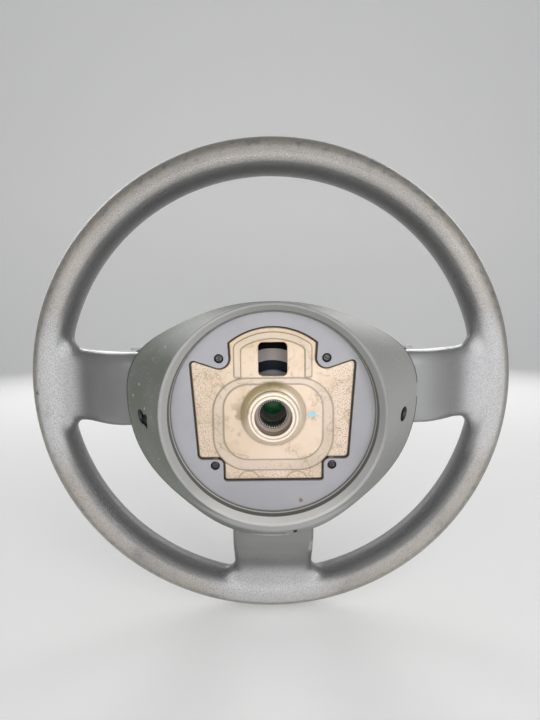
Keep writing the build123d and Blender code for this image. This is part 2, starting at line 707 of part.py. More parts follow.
# Coil springs round the pins, from the hub plate to the bushes
SPRING_START_Y = HOLLOW_Y + SPRING_WIRE / 2
SPRING_HEIGHT = BUSH_REAR_Y - HOLLOW_Y - SPRING_WIRE - 2 * PRESS_GAP
for number, (pin_x, pin_z) in enumerate(GUIDE_PINS, start=1):
    with BuildPart() as horn_spring:
        with BuildLine():
            coil = Helix(
                SPRING_HEIGHT / SPRING_TURNS,
                SPRING_HEIGHT,
                (SPRING_D - SPRING_WIRE) / 2,
                center=(pin_x, SPRING_START_Y + PRESS_GAP, pin_z),
                direction=TOWARDS_DRIVER,
            )
        with BuildSketch(Plane(coil @ 0, z_dir=coil % 0)):
            RegularPolygon(SPRING_WIRE / 2, 6)
        sweep(path=coil, is_frenet=True)
    horn_spring.part.label = f"horn_spring_{number}"
    export_step(horn_spring.part, f"parts/horn_spring_{number}.step")

# Contact posts on the hub plate and rivets on the horn plate, one gap apart at rest
CONTACT_FACE_Y = HORN_Y - CONTACT_T
with BuildPart() as fixed_contacts:
    with BuildSketch(wheel_plane(CONTACT_FACE_Y - CONTACT_GAP)):
        with Locations(*CONTACTS):
            Circle(CONTACT_D / 2)
    extrude(amount=CONTACT_FACE_Y - CONTACT_GAP - HOLLOW_Y)
fixed_contacts.part.label = "fixed_contacts"
export_step(fixed_contacts.part, "parts/fixed_contacts.step")

with BuildPart() as moving_contacts:
    with BuildSketch(wheel_plane(HORN_Y)):
        with Locations(*CONTACTS):
            Circle(CONTACT_D / 2)
    extrude(amount=CONTACT_T)
moving_contacts.part.label = "moving_contacts"
export_step(moving_contacts.part, "parts/moving_contacts.step")

# Floating horn plate, open at the top behind the window, with an ear each side for the module's bolts
EAR_REACH = LEG_X - HORN_HALF_WIDTH + HORN_CORNER_R
with BuildPart() as horn_plate:
    with BuildSketch(wheel_plane(HORN_FRONT_Y)):
        with Locations((0, (HORN_TOP + HORN_BOTTOM) / 2)):
            RectangleRounded(2 * HORN_HALF_WIDTH, HORN_TOP - HORN_BOTTOM, HORN_CORNER_R)
        with Locations((0, HORN_OPENING_BOTTOM)):
            Rectangle(
                2 * HORN_OPENING_HALF,
                2 * HORN_TOP - HORN_OPENING_BOTTOM,
                align=(Align.CENTER, Align.MIN),
                mode=Mode.SUBTRACT,
            )
        for side in (-1, 1):
            with Locations((side * (LEG_X - EAR_REACH / 2), BOLT_Z)):
                Rectangle(EAR_REACH, EAR_WIDTH)
        with Locations(*GUIDE_PINS):
            Circle(BUSH_D / 2 + PRESS_GAP, mode=Mode.SUBTRACT)
    extrude(amount=HORN_T)
    with BuildSketch(wheel_plane(HORN_Y)):
        for side in (-1, 1):
            with Locations((side * (EAR_X + EAR_T / 2), BOLT_Z)):
                Rectangle(EAR_T, EAR_WIDTH)
    extrude(amount=HORN_Y - EAR_END_Y)
    with BuildSketch(Plane.YZ):
        with Locations((BOLT_Y, BOLT_Z)):
            Circle(BOLT_D / 2 + PRESS_GAP)
    extrude(amount=LEG_X, both=True, mode=Mode.SUBTRACT)
horn_plate.part.label = "horn_plate"
export_step(horn_plate.part, "parts/horn_plate.step")

# Nylon bushes that run on the guide pins
with BuildPart() as guide_bushes:
    with BuildSketch(wheel_plane(BUSH_FRONT_Y)):
        with Locations(*GUIDE_PINS):
            Circle(BUSH_D / 2)
    extrude(amount=BUSH_FRONT_Y - HORN_Y)
    with BuildSketch(wheel_plane(HORN_Y)):
        with Locations(*GUIDE_PINS):
            Circle(BUSH_FLANGE_D / 2)
    extrude(amount=BUSH_FLANGE_T)
    with BuildSketch(wheel_plane(BUSH_FRONT_Y)):
        with Locations(*GUIDE_PINS):
            Circle(PIN_D / 2 + PIN_FIT)
    extrude(amount=BUSH_FRONT_Y - BUSH_REAR_Y, mode=Mode.SUBTRACT)
guide_bushes.part.label = "guide_bushes"
export_step(guide_bushes.part, "parts/guide_bushes.step")

# Pressed tray of the gas module: turned-up rim, can hole, stud holes and two legs to the horn plate's ears
with BuildPart() as module_base:
    extrude(base_outline(BASE_Y + BASE_RIM, 0.0), amount=BASE_RIM, dir=TOWARDS_COLUMN)
    extrude(
        base_outline(BASE_Y + BASE_RIM, -BASE_T),
        amount=BASE_RIM - BASE_T,
        dir=TOWARDS_COLUMN,
        mode=Mode.SUBTRACT,
    )
    with BuildSketch(wheel_plane(BASE_FRONT_Y)):
        for side in (-1, 1):
            with Locations((side * (LEG_X + EAR_T / 2), BOLT_Z)):
                Rectangle(EAR_T, EAR_WIDTH)
    extrude(amount=BASE_FRONT_Y - EAR_END_Y)
    with BuildSketch(wheel_plane(BASE_FRONT_Y)):
        Circle(CAN_R + CAN_GAP)
        with Locations(*STUDS):
            Circle(STUD_D / 2 + PRESS_GAP)
    extrude(amount=BASE_T, mode=Mode.SUBTRACT)
    with BuildSketch(Plane.YZ):
        with Locations((BOLT_Y, BOLT_Z)):
            Circle(BOLT_D / 2 + PRESS_GAP)
    extrude(amount=LEG_OUTER_X, both=True, mode=Mode.SUBTRACT)
    for plane in rivet_planes():
        with BuildSketch(plane):
            Circle(RIVET_D / 2 + PRESS_GAP)
        extrude(amount=BASE_T, mode=Mode.SUBTRACT)
module_base.part.label = "module_base"
export_step(module_base.part, "parts/module_base.step")

# Bolts and welded nuts that join tray and horn plate at the sides
with BuildPart() as side_bolts:
    for side in (-1, 1):
        with BuildSketch(Plane((side * LEG_OUTER_X, BOLT_Y, BOLT_Z), z_dir=(side, 0, 0))):
            RegularPolygon(BOLT_HEAD_D / 2, 6)
        extrude(amount=BOLT_HEAD_T)
        with BuildSketch(Plane((side * LEG_OUTER_X, BOLT_Y, BOLT_Z), z_dir=(side, 0, 0))):
            Circle(BOLT_D / 2)
        extrude(amount=-(LEG_OUTER_X - EAR_X + NUT_T + BOLT_TAIL))
side_bolts.part.label = "side_bolts"
export_step(side_bolts.part, "parts/side_bolts.step")

with BuildPart() as side_nuts:
    for side in (-1, 1):
        with BuildSketch(Plane((side * EAR_X, BOLT_Y, BOLT_Z), z_dir=(side, 0, 0))):
            RegularPolygon(NUT_D / 2, 6)
            Circle(BOLT_D / 2 + PRESS_GAP, mode=Mode.SUBTRACT)
        extrude(amount=-NUT_T)
side_nuts.part.label = "side_nuts"
export_step(side_nuts.part, "parts/side_nuts.step")

# Gas generator: closure with a ring groove and plug socket, flange under the tray, can inside the bag
with BuildPart() as inflator:
    with BuildSketch(Plane.XY):
        with BuildLine():
            Polyline(
                (0, CLOSURE_Y + SOCKET_DEPTH),
                (SOCKET_R, CLOSURE_Y + SOCKET_DEPTH),
                (SOCKET_R, CLOSURE_Y),
                (GROOVE_INNER_R, CLOSURE_Y),
                (GROOVE_INNER_R, CLOSURE_Y + GROOVE_DEPTH),
                (GROOVE_OUTER_R, CLOSURE_Y + GROOVE_DEPTH),
                (GROOVE_OUTER_R, CLOSURE_Y),
                (CLOSURE_R, CLOSURE_Y),
                (CLOSURE_R, BASE_Y - INFLATOR_FLANGE_T),
                (INFLATOR_FLANGE_R, BASE_Y - INFLATOR_FLANGE_T),
                (INFLATOR_FLANGE_R, BASE_Y),
                (CAN_R, BASE_Y),
                (CAN_R, BASE_Y + CAN_LENGTH),
                (0, BASE_Y + CAN_LENGTH),
                close=True,
            )
        make_face()
    revolve(axis=Axis.Y)
    fillet(inflator.faces().sort_by(Axis.Y)[-1].edges(), CAN_EDGE_R)
    with BuildSketch(wheel_plane(BASE_Y)):
        with Locations(*STUDS):
            Circle(STUD_D / 2 + PRESS_GAP)
    extrude(amount=INFLATOR_FLANGE_T, mode=Mode.SUBTRACT)
inflator.part.label = "inflator"
export_step(inflator.part, "parts/inflator.step")

# Bare label on the closure's upper half
with BuildPart() as inflator_label:
    with BuildSketch(wheel_plane(CLOSURE_Y)):
        Circle(CLOSURE_R - LABEL_MARGIN)
        Circle(GROOVE_OUTER_R + LABEL_MARGIN, mode=Mode.SUBTRACT)
        with Locations((0, LABEL_LOW)):
            Rectangle(2 * CLOSURE_R, CLOSURE_R, align=(Align.CENTER, Align.MIN), mode=Mode.INTERSECT)
    extrude(amount=LABEL_T)
inflator_label.part.label = "inflator_label"
export_step(inflator_label.part, "parts/inflator_label.step")

# Plug of the firing lead, seated in the closure's socket
with BuildPart() as squib_connector:
    with BuildSketch(wheel_plane(CLOSURE_Y)):
        with Locations((0, CONNECTOR_WIDTH / 2 - CONNECTOR_LENGTH / 2)):
            RectangleRounded(CONNECTOR_WIDTH, CONNECTOR_LENGTH, CONNECTOR_EDGE_R)
    extrude(amount=CONNECTOR_T)
    fillet(squib_connector.faces().sort_by(Axis.Y)[0].edges(), CONNECTOR_EDGE_R / 2)
    with BuildSketch(wheel_plane(CLOSURE_Y)):
        Circle(SOCKET_R - HEAD_GAP)
    extrude(amount=HEAD_GAP - SOCKET_DEPTH)
squib_connector.part.label = "squib_connector"
export_step(squib_connector.part, "parts/squib_connector.step")

# Ring with studs that clamps the bag's mouth to the tray, and the nuts behind the flange
with BuildPart() as cushion_ring:
    with BuildSketch(wheel_plane(BASE_FRONT_Y + RING_T)):
        Circle(RING_OUTER_R)
        Circle(RING_INNER_R, mode=Mode.SUBTRACT)
    extrude(amount=RING_T)
    with BuildSketch(wheel_plane(BASE_FRONT_Y)):
        with Locations(*STUDS):
            Circle(STUD_D / 2)
    extrude(amount=BASE_T + INFLATOR_FLANGE_T + STUD_TAIL)
cushion_ring.part.label = "cushion_ring"
export_step(cushion_ring.part, "parts/cushion_ring.step")

with BuildPart() as module_nuts:
    with BuildSketch(wheel_plane(BASE_Y - INFLATOR_FLANGE_T)):
        with Locations(*STUDS):
            RegularPolygon(MODULE_NUT_D / 2, 6)
            Circle(STUD_D / 2 + PRESS_GAP, mode=Mode.SUBTRACT)
    extrude(amount=MODULE_NUT_T)
module_nuts.part.label = "module_nuts"
export_step(module_nuts.part, "parts/module_nuts.step")

# Folded bag packed round the can
CUSHION_REAR_Y = BASE_FRONT_Y + RING_T + RUN_GAP
with BuildPart() as cushion_pack:
    extrude(
        base_outline(CUSHION_FRONT_Y, -BASE_T - CUSHION_GAP),
        amount=CUSHION_FRONT_Y - CUSHION_REAR_Y,
        dir=TOWARDS_COLUMN,
    )
    fillet(cushion_pack.faces().sort_by(Axis.Y)[-1].edges(), CUSHION_EDGE_R)
    with BuildSketch(wheel_plane(BASE_Y + CAN_LENGTH + RUN_GAP)):
        Circle(CAN_R + RUN_GAP)
    extrude(amount=CAN_LENGTH, mode=Mode.SUBTRACT)
cushion_pack.part.label = "cushion_pack"
export_step(cushion_pack.part, "parts/cushion_pack.step")

# Horn pad: crowned shell over the hub with a wing on each side spoke and a skirt round the tray
CROWN_CENTRE = (0, PAD_CROWN_Y - PAD_CROWN_R, 0)
PAD_REAR_Y = COVER_DEPTH + PAD_CLEAR
PAD_LENGTH = PAD_CROWN_Y - PAD_REAR_Y
with BuildPart() as pad_body:
    extrude(cover_outline(PAD_CROWN_Y, PAD_INSET), amount=PAD_LENGTH, dir=TOWARDS_COLUMN)
    with Locations(CROWN_CENTRE):
        Sphere(PAD_CROWN_R, mode=Mode.INTERSECT)
    fillet(pad_body.faces().sort_by(Axis.Y)[-1].edges(), PAD_EDGE_R)
with BuildPart() as pad_cavity:
    extrude(cover_outline(PAD_CROWN_Y, PAD_INSET + PAD_WALL), amount=PAD_LENGTH, dir=TOWARDS_COLUMN)
    with Locations(CROWN_CENTRE):
        Sphere(PAD_CROWN_R - PAD_WALL, mode=Mode.INTERSECT)
with BuildPart() as pad_wings:
    with BuildSketch(wheel_plane(PAD_CROWN_Y)):
        with Locations((0, (WING_TOP + WING_BOTTOM) / 2)):
            RectangleRounded(2 * WING_HALF, WING_TOP - WING_BOTTOM, WING_CORNER_R)
    extrude(amount=PAD_CROWN_Y - SPOKE_FRONT_Y)
    with Locations(CROWN_CENTRE):
        Sphere(PAD_CROWN_R - WING_SINK, mode=Mode.INTERSECT)
    fillet(pad_wings.faces().sort_by(Axis.Y)[-1].edges(), WING_EDGE_R)
with BuildPart() as pad_skirt:
    extrude(base_outline(PAD_CROWN_Y, SKIRT_FIT + SKIRT_T), amount=PAD_CROWN_Y - SKIRT_Y, dir=TOWARDS_COLUMN)
    extrude(
        base_outline(PAD_CROWN_Y, SKIRT_FIT),
        amount=PAD_CROWN_Y - SKIRT_Y,
        dir=TOWARDS_COLUMN,
        mode=Mode.SUBTRACT,
    )
    with Locations(CROWN_CENTRE):
        Sphere(PAD_CROWN_R - PAD_WALL / 2, mode=Mode.INTERSECT)
spoke_clearances = [spoke_form(spoke, PAD_CLEAR) for spoke in SPOKES]
with BuildPart() as pad_cover:
    add(pad_body.part)
    add(pad_wings.part)
    add(pad_cavity.part, mode=Mode.SUBTRACT)
    for clearance in spoke_clearances:
        add(clearance, mode=Mode.SUBTRACT)
    add(pad_skirt.part)
    for plane in rivet_planes():
        with BuildSketch(plane):
            Circle(RIVET_D / 2 + PRESS_GAP)
        extrude(amount=BASE_T + SKIRT_FIT + SKIRT_T, mode=Mode.SUBTRACT)
pad_cover.part.label = "pad_cover"
export_step(pad_cover.part, "parts/pad_cover.step")

# Rivets through skirt and tray rim
with BuildPart() as pad_rivets:
    for plane in rivet_planes():
        with BuildSketch(plane):
            Circle(RIVET_D / 2)
        extrude(amount=BASE_T + SKIRT_FIT + SKIRT_T)
        with BuildSketch(plane.offset(BASE_T + SKIRT_FIT + SKIRT_T)):
            Circle(RIVET_HEAD_D / 2)
        extrude(amount=RIVET_HEAD_T)
pad_rivets.part.label = "pad_rivets"
export_step(pad_rivets.part, "parts/pad_rivets.step")
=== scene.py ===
from math import cos, pi, radians, sin

import bmesh
import bpy
from mathutils import Matrix, Vector, noise


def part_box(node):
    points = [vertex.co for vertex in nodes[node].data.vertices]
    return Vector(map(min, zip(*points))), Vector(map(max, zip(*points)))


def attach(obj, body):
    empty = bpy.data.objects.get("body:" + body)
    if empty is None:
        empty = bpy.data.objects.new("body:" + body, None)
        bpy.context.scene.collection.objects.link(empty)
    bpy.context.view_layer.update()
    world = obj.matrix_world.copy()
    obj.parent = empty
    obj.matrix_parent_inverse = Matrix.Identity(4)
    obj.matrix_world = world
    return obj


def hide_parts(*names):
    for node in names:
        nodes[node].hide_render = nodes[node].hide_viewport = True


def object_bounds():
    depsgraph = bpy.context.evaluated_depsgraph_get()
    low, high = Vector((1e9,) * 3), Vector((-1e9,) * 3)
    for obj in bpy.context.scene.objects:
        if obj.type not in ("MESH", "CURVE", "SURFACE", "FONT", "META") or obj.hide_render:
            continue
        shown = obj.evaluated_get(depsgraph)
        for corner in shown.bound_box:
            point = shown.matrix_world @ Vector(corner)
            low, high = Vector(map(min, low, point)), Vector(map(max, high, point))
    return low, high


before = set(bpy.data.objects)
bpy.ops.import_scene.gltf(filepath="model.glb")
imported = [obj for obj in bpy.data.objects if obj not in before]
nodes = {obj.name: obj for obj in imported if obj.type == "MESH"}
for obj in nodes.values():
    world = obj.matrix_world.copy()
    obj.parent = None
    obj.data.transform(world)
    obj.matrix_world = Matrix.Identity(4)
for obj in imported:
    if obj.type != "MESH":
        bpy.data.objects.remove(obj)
cad_low, cad_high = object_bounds()

# Rim and spoke covering
# One soft foam moulding with a closed skin, cast round the steel ring and the three straps.
# Its leather grain fades out towards the hub, hands have polished it, and the outer edge has kept dirt.
# Faces turned to the column side carry a painted highlight over the polish, bluish on the flats beside the
# spokes, and the right spoke is painted lighter as lit. Painted shade darkens the inner and outer sides, the
# top, the corners and the root hidden under the cover.
FOAM_VOXEL = 0.0018
FOAM_SOFTEN = 0.5
FOAM_BLEND_STEPS = 10
FOAM_SKIN_STEPS = 3
BLEND_ALONG = (0.118, 0.140)
BLEND_ACROSS = (0.045, 0.066)
BLEND_RADII = (0.168, 0.178)
SPOKE_WAYS = ((Vector((1, 0, 0)), 0.002), (Vector((-1, 0, 0)), 0.002), (Vector((0, 0, -1)), 0.0))
FOAM_GREY = (0.182, 0.181, 0.179, 1)
FOAM_DARK = (0.145, 0.145, 0.142, 1)
FOAM_POLISH_AND_HIGHLIGHT = (0.490, 0.445, 0.405, 1)
FOAM_FLAT_POLISH_AND_HIGHLIGHT = (0.620, 0.620, 0.638, 1)
FOAM_DIRT = (0.420, 0.365, 0.295, 1)
FOAM_SCUFF = (0.560, 0.530, 0.490, 1)
FOAM_NICK_AND_SHADE = (0.012, 0.012, 0.012, 1)
FOAM_RIGHT_LIT = (0.290, 0.290, 0.292, 1)
FOAM_CREASE = (0.76, 0.75, 0.73, 1)
FOAM_INNER_SHADE = (0.42, 0.42, 0.42, 1)
FOAM_OUTER_SHADE = (0.50, 0.49, 0.48, 1)
FOAM_TOP_SHADE = (0.78, 0.78, 0.78, 1)
FOAM_CELLS = 560.0
FOAM_PEBBLES = 600.0
GRAIN_RADII = (0.130, 0.150)
GRAIN_SWAY = 0.020
DIRT_RADII = (0.165, 0.181)
SCUFF_RADII = (0.174, 0.184)
EDGE_SWAY = 0.016
SIDE_BAND = (0.075, 0.035)
SIDE_START = (0.100, 0.130)
FOOT_BAND = (0.065, 0.030)
FOOT_START = (-0.100, -0.130)
FLAT_TURN = (-0.74, -0.95)
CREST_TURN = (-0.87, -0.99)
INNER_TURN = (-0.25, -0.80)
INNER_RADII = (0.145, 0.155)
OUTER_TURN = (0.30, 0.90)
RIGHT_START = (0.080, 0.100)
RIGHT_BAND = (0.060, 0.040)
RIGHT_TURN = (-0.40, -0.80)
TOP_RISE = (0.080, 0.150)
NICK_PLACES = ((-0.178, -0.002), (-0.158, 0.105), (0.105, -0.149))
NICK_RADII = (0.0036, 0.0026)
NICK_SWAY = 0.0030
SCRAPE_PLACE = (0.0285, 0, -0.1150)
SCRAPE_STRETCH = (1, 0, 0.4)
SCRAPE_RADII = (0.0032, 0.0014)
ROOT_RADII = (0.1000, 0.0965)
ROOT_DEPTH = (0.0500, 0.0485)
ROOT_REACH = 0.005


def ease(value, low, high):
    """Smooth step from 0 at low to 1 at high."""
    share = min(1.0, max(0.0, (value - low) / (high - low)))
    return share * share * (3 - 2 * share)


def fill(tree, socket, value):
    """Links another node's output to a socket, or sets the socket to a value."""
    if isinstance(value, bpy.types.NodeSocket):
        tree.links.new(value, socket)
    else:
        socket.default_value = value


def put(tree, kind, settings=None, **inputs):
    """Adds a shader node; an input is given as a value or as another node's output."""
    made = tree.nodes.new("ShaderNode" + kind)
    for name, value in (settings or {}).items():
        setattr(made, name, value)
    for name, value in inputs.items():
        fill(tree, made.inputs[name.replace("_", " ")], value)
    return made


def mix(tree, share, first, second, way="MIX"):
    """Mixes two colours, each a value or another node's output."""
    made = put(tree, "Mix", {"data_type": "RGBA", "blend_type": way})
    for socket, value in ((made.inputs[0], share), (made.inputs[6], first), (made.inputs[7], second)):
        fill(tree, socket, value)
    return made.outputs[2]


def sums(tree, way, first, second=0.0):
    """Arithmetic on node outputs or values."""
    made = put(tree, "Math", {"operation": way})
    for socket, value in zip(made.inputs, (first, second)):
        fill(tree, socket, value)
    return made.outputs[0]


def plus(tree, first, second):
    """Sum of node outputs or values."""
    return sums(tree, "ADD", first, second)


def less(tree, first, second):
    """Difference of node outputs or values."""
    return sums(tree, "SUBTRACT", first, second)


def times(tree, first, second):
    """Product of node outputs or values; of two masks, where both hold."""
    return sums(tree, "MULTIPLY", first, second)


def either(tree, first, second):
    """The larger of two masks, where one or both hold."""
    return sums(tree, "MAXIMUM", first, second)


def bare(tree, value):
    """A node's output without its sign."""
    return sums(tree, "ABSOLUTE", value)


def fade(tree, value, low, high):
    """Smooth step of a node's output, from 0 at low to 1 at high."""
    settings = {"interpolation_type": "SMOOTHSTEP"}
    return put(tree, "MapRange", settings, Value=value, From_Min=low, From_Max=high).outputs[0]


def length(tree, vector):
    """Length of a node's vector."""
    return put(tree, "VectorMath", {"operation": "LENGTH"}, Vector=vector).outputs["Value"]


def dot(tree, first, second):
    """How far one direction points along another."""
    made = put(tree, "VectorMath", {"operation": "DOT_PRODUCT"})
    for socket, value in zip(made.inputs, (first, second)):
        fill(tree, socket, value)
    return made.outputs["Value"]


def new_finish(name):
    """A bare material with its tree, its shader and the object's own coordinates."""
    material = bpy.data.materials.new(name)
    material.use_nodes = True
    tree = material.node_tree
    place = tree.nodes.new("ShaderNodeTexCoord").outputs["Object"]
    return material, tree, tree.nodes["Principled BSDF"], place


def axis_distance(tree, place):
    """Distance from the steering axis, and the three coordinates."""
    parts = put(tree, "SeparateXYZ", Vector=place).outputs
    return length(tree, put(tree, "CombineXYZ", X=parts[0], Z=parts[2]).outputs[0]), parts


def spot(tree, place, centre, stretch):
    """Distance from a point on the face, with the wheel's depth left out and the width stretched."""
    moved = put(tree, "Mapping", Vector=place, Scale=stretch)
    moved.inputs["Location"].default_value = (-centre[0] * stretch[0], 0, -centre[2] * stretch[2])
    return length(tree, moved.outputs[0])


def blotch(tree, place, scale, detail=4.0):
    """Cloudy noise, with about scale clouds to a metre."""
    return put(tree, "TexNoise", Vector=place, Scale=scale, Detail=detail).outputs[0]


def cell_edges(tree, place, scale):
    """Distance from the borders of cells, with about scale cells to a metre."""
    settings = {"feature": "DISTANCE_TO_EDGE"}
    return put(tree, "TexVoronoi", settings, Vector=place, Scale=scale).outputs["Distance"]


def crevice(tree, reach):
    """Openness of a place: 1 on a free face, less where other faces stand within reach."""
    return put(tree, "AmbientOcclusion", {"samples": 8}, Distance=reach).outputs["AO"]


def gloss_range(tree, cloud, low, high):
    """Roughness that follows the clouds from low to high."""
    return put(tree, "MapRange", Value=cloud, From_Min=0.3, From_Max=0.7, To_Min=low, To_Max=high).outputs[0]


def bump(tree, height, strength, depth, **below):
    """A normal raised by a node's output, over another Normal where one is given."""
    return put(tree, "Bump", Strength=strength, Distance=depth, Height=height, **below).outputs[0]


def dress(node, material):
    """Gives a solid of the model its finish."""
    nodes[node].data.materials.clear()
    nodes[node].data.materials.append(material)


def smooth_copy(node, name, voxel):
    """A new piece with the solid's form in an even mesh."""
    piece = bpy.data.objects.new(name, nodes[node].data.copy())
    bpy.context.scene.collection.objects.link(piece)
    even = piece.modifiers.new("even", "REMESH")
    even.voxel_size = voxel
    shape = bpy.data.meshes.new_from_object(piece.evaluated_get(bpy.context.evaluated_depsgraph_get()))
    piece.modifiers.clear()
    piece.data = shape
    shape.shade_smooth()
    return piece


foam = smooth_copy("rim_grip", "rim_foam", FOAM_VOXEL)
blend = foam.vertex_groups.new(name="blend")
skin = foam.vertex_groups.new(name="skin")
for vertex in foam.data.vertices:
    point = vertex.co
    radius = Vector((point.x, 0, point.z)).length
    share = 0.0
    for way, middle in SPOKE_WAYS:
        along = point.dot(way)
        across = abs(point.z - middle) if way.x else abs(point.x)
        share = max(share, ease(along, *BLEND_ALONG) * (1 - ease(across, *BLEND_ACROSS)))
    blend.add([vertex.index], share * (1 - ease(radius, *BLEND_RADII)), "REPLACE")
    skin.add([vertex.index], 1.0, "REPLACE")
for group, steps in (("blend", FOAM_BLEND_STEPS), ("skin", FOAM_SKIN_STEPS)):
    soften = foam.modifiers.new(group, "SMOOTH")
    soften.vertex_group = group
    soften.factor = FOAM_SOFTEN
    soften.iterations = steps

foam_finish, tree, shader, place = new_finish("foam_skin")
radius, (x, y, z) = axis_distance(tree, place)
cloud = blotch(tree, place, 24.0, 3.0)
fine_cloud = blotch(tree, place, 190.0, 6.0)
streak = blotch(tree, place, 420.0, 5.0)
cells = cell_edges(tree, place, FOAM_CELLS)
plateau = fade(tree, cell_edges(tree, place, FOAM_PEBBLES), 0.01, 0.20)
grained = fade(tree, plus(tree, radius, times(tree, fine_cloud, GRAIN_SWAY)), *GRAIN_RADII)
creased = times(tree, fade(tree, cells, 0.10, 0.02), grained)
rough_edge = plus(tree, radius, times(tree, less(tree, cloud, 0.5), EDGE_SWAY))
soiled = times(tree, fade(tree, rough_edge, *DIRT_RADII), fade(tree, fine_cloud, 0.30, 0.54))
scuffed = times(tree, fade(tree, rough_edge, *SCUFF_RADII), fade(tree, streak, 0.56, 0.68))
facing = put(tree, "NewGeometry").outputs["Normal"]
column_side = put(tree, "SeparateXYZ", Vector=facing).outputs[1]
aside = bare(tree, x)
off_level = bare(tree, z)
by_side = times(tree, fade(tree, off_level, *SIDE_BAND), fade(tree, aside, *SIDE_START))
by_foot = times(tree, fade(tree, aside, *FOOT_BAND), fade(tree, z, *FOOT_START))
by_spoke = either(tree, by_side, by_foot)
# Faces turned to the column side are painted paler: hand polish with a painted highlight, bluish on the
# flats beside the spokes.
flats = times(tree, by_spoke, fade(tree, column_side, *FLAT_TURN))
crest = either(tree, fade(tree, column_side, *CREST_TURN), flats)
worn_tops = plus(tree, times(tree, plateau, 0.35), 0.65)
polish_and_highlight = times(tree, times(tree, crest, grained), worn_tops)
polish_and_highlight = times(tree, polish_and_highlight, fade(tree, cloud, 0.08, 0.45))
outwards = put(tree, "CombineXYZ", X=x, Z=z).outputs[0]
outwards = put(tree, "VectorMath", {"operation": "NORMALIZE"}, Vector=outwards).outputs[0]
turned_out = dot(tree, facing, outwards)
# Painted shade: the rim's inner side, turned to the axis, is darkened.
inner_side_shade = times(tree, fade(tree, turned_out, *INNER_TURN), fade(tree, radius, *INNER_RADII))
# Painted light: the column side of the right spoke is painted lighter, as lit from the right.
right_light = times(tree, fade(tree, x, *RIGHT_START), fade(tree, off_level, *RIGHT_BAND))
right_light = times(tree, right_light, fade(tree, column_side, *RIGHT_TURN))
tone = mix(tree, fade(tree, cloud, 0.30, 0.70), FOAM_DARK, FOAM_GREY)
tone = mix(tree, inner_side_shade, tone, FOAM_INNER_SHADE, "MULTIPLY")
tone = mix(tree, right_light, tone, FOAM_RIGHT_LIT)
tone = mix(tree, times(tree, soiled, 0.75), tone, FOAM_DIRT)
tone = mix(tree, times(tree, polish_and_highlight, 0.85), tone, mix(tree, by_spoke, FOAM_POLISH_AND_HIGHLIGHT, FOAM_FLAT_POLISH_AND_HIGHLIGHT))
tone = mix(tree, times(tree, scuffed, 0.50), tone, FOAM_SCUFF)
# Painted shade: faces turned away from the axis are darkened.
tone = mix(tree, fade(tree, turned_out, *OUTER_TURN), tone, FOAM_OUTER_SHADE, "MULTIPLY")
tone = mix(tree, creased, tone, FOAM_CREASE, "MULTIPLY")
# Painted shade: the top of the rim is darkened.
tone = mix(tree, fade(tree, z, *TOP_RISE), tone, FOAM_TOP_SHADE, "MULTIPLY")
for nick_x, nick_z in NICK_PLACES:
    nick = spot(tree, place, (nick_x, 0, nick_z), (1, 0, 1))
    nick = plus(tree, nick, times(tree, fine_cloud, NICK_SWAY))
    tone = mix(tree, times(tree, fade(tree, nick, *NICK_RADII), 0.7), tone, FOAM_NICK_AND_SHADE)
scrape = spot(tree, place, SCRAPE_PLACE, SCRAPE_STRETCH)
scraped = times(tree, fade(tree, scrape, *SCRAPE_RADII), fade(tree, streak, 0.40, 0.52))
tone = mix(tree, times(tree, scraped, 0.8), tone, FOAM_SCUFF)
# Painted shade: the foam's root hidden under the cover and the corners beside other parts are painted near
# black, in the nicks' colour.
root_shade = times(tree, fade(tree, radius, *ROOT_RADII), fade(tree, y, *ROOT_DEPTH))
corner_shade = times(tree, fade(tree, crevice(tree, ROOT_REACH), 0.75, 0.35), 0.85)
tone = mix(tree, either(tree, root_shade, corner_shade), tone, FOAM_NICK_AND_SHADE)
tree.links.new(tone, shader.inputs["Base Color"])
tree.links.new(gloss_range(tree, fine_cloud, 0.32, 0.42), shader.inputs["Roughness"])
shader.inputs["Specular IOR Level"].default_value = 1.0
shader.inputs["Coat Weight"].default_value = 0.5
shader.inputs["Coat Roughness"].default_value = 0.30
relief = times(tree, plus(tree, fade(tree, cells, 0.0, 0.16), plateau), times(tree, grained, 0.5))
grain = bump(tree, relief, 0.65, 0.0004)
tree.links.new(bump(tree, fine_cloud, 0.06, 0.0006, Normal=grain), shader.inputs["Normal"])
foam.data.materials.clear()
foam.data.materials.append(foam_finish)
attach(foam, "wheel")
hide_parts("rim_grip")

# Steel ring and spoke straps
# Drawn bar and bent strip, welded together and dipped in black paint before the foam is cast on.
# Weld heat and handling leave brown flecks in the paint.
PAINT_BLACK = (0.028, 0.028, 0.030, 1)
PAINT_FLECK = (0.090, 0.055, 0.035, 1)


def clouded_finish(name, tones, scale, spread, roughness, metal=0.0, detail=4.0):
    """A finish that goes from one tone to another in clouds, with its tree, shader and coordinates."""
    material, tree, shader, place = new_finish(name)
    share = fade(tree, blotch(tree, place, scale, detail), *spread)
    tree.links.new(mix(tree, share, *tones), shader.inputs["Base Color"])
    shader.inputs["Roughness"].default_value = roughness
    shader.inputs["Metallic"].default_value = metal
    return material, tree, shader, place


frame_tones = (PAINT_BLACK, PAINT_FLECK)
frame_finish, tree, shader, place = clouded_finish(
    "black_dip_coat", frame_tones, 420.0, (0.60, 0.72), roughness=0.38, detail=6.0
)
tree.links.new(bump(tree, blotch(tree, place, 700.0), 0.2, 0.0002), shader.inputs["Normal"])
for node in ("rim_core", "right_spoke_arm", "left_spoke_arm", "lower_spoke_arm"):
    dress(node, frame_finish)

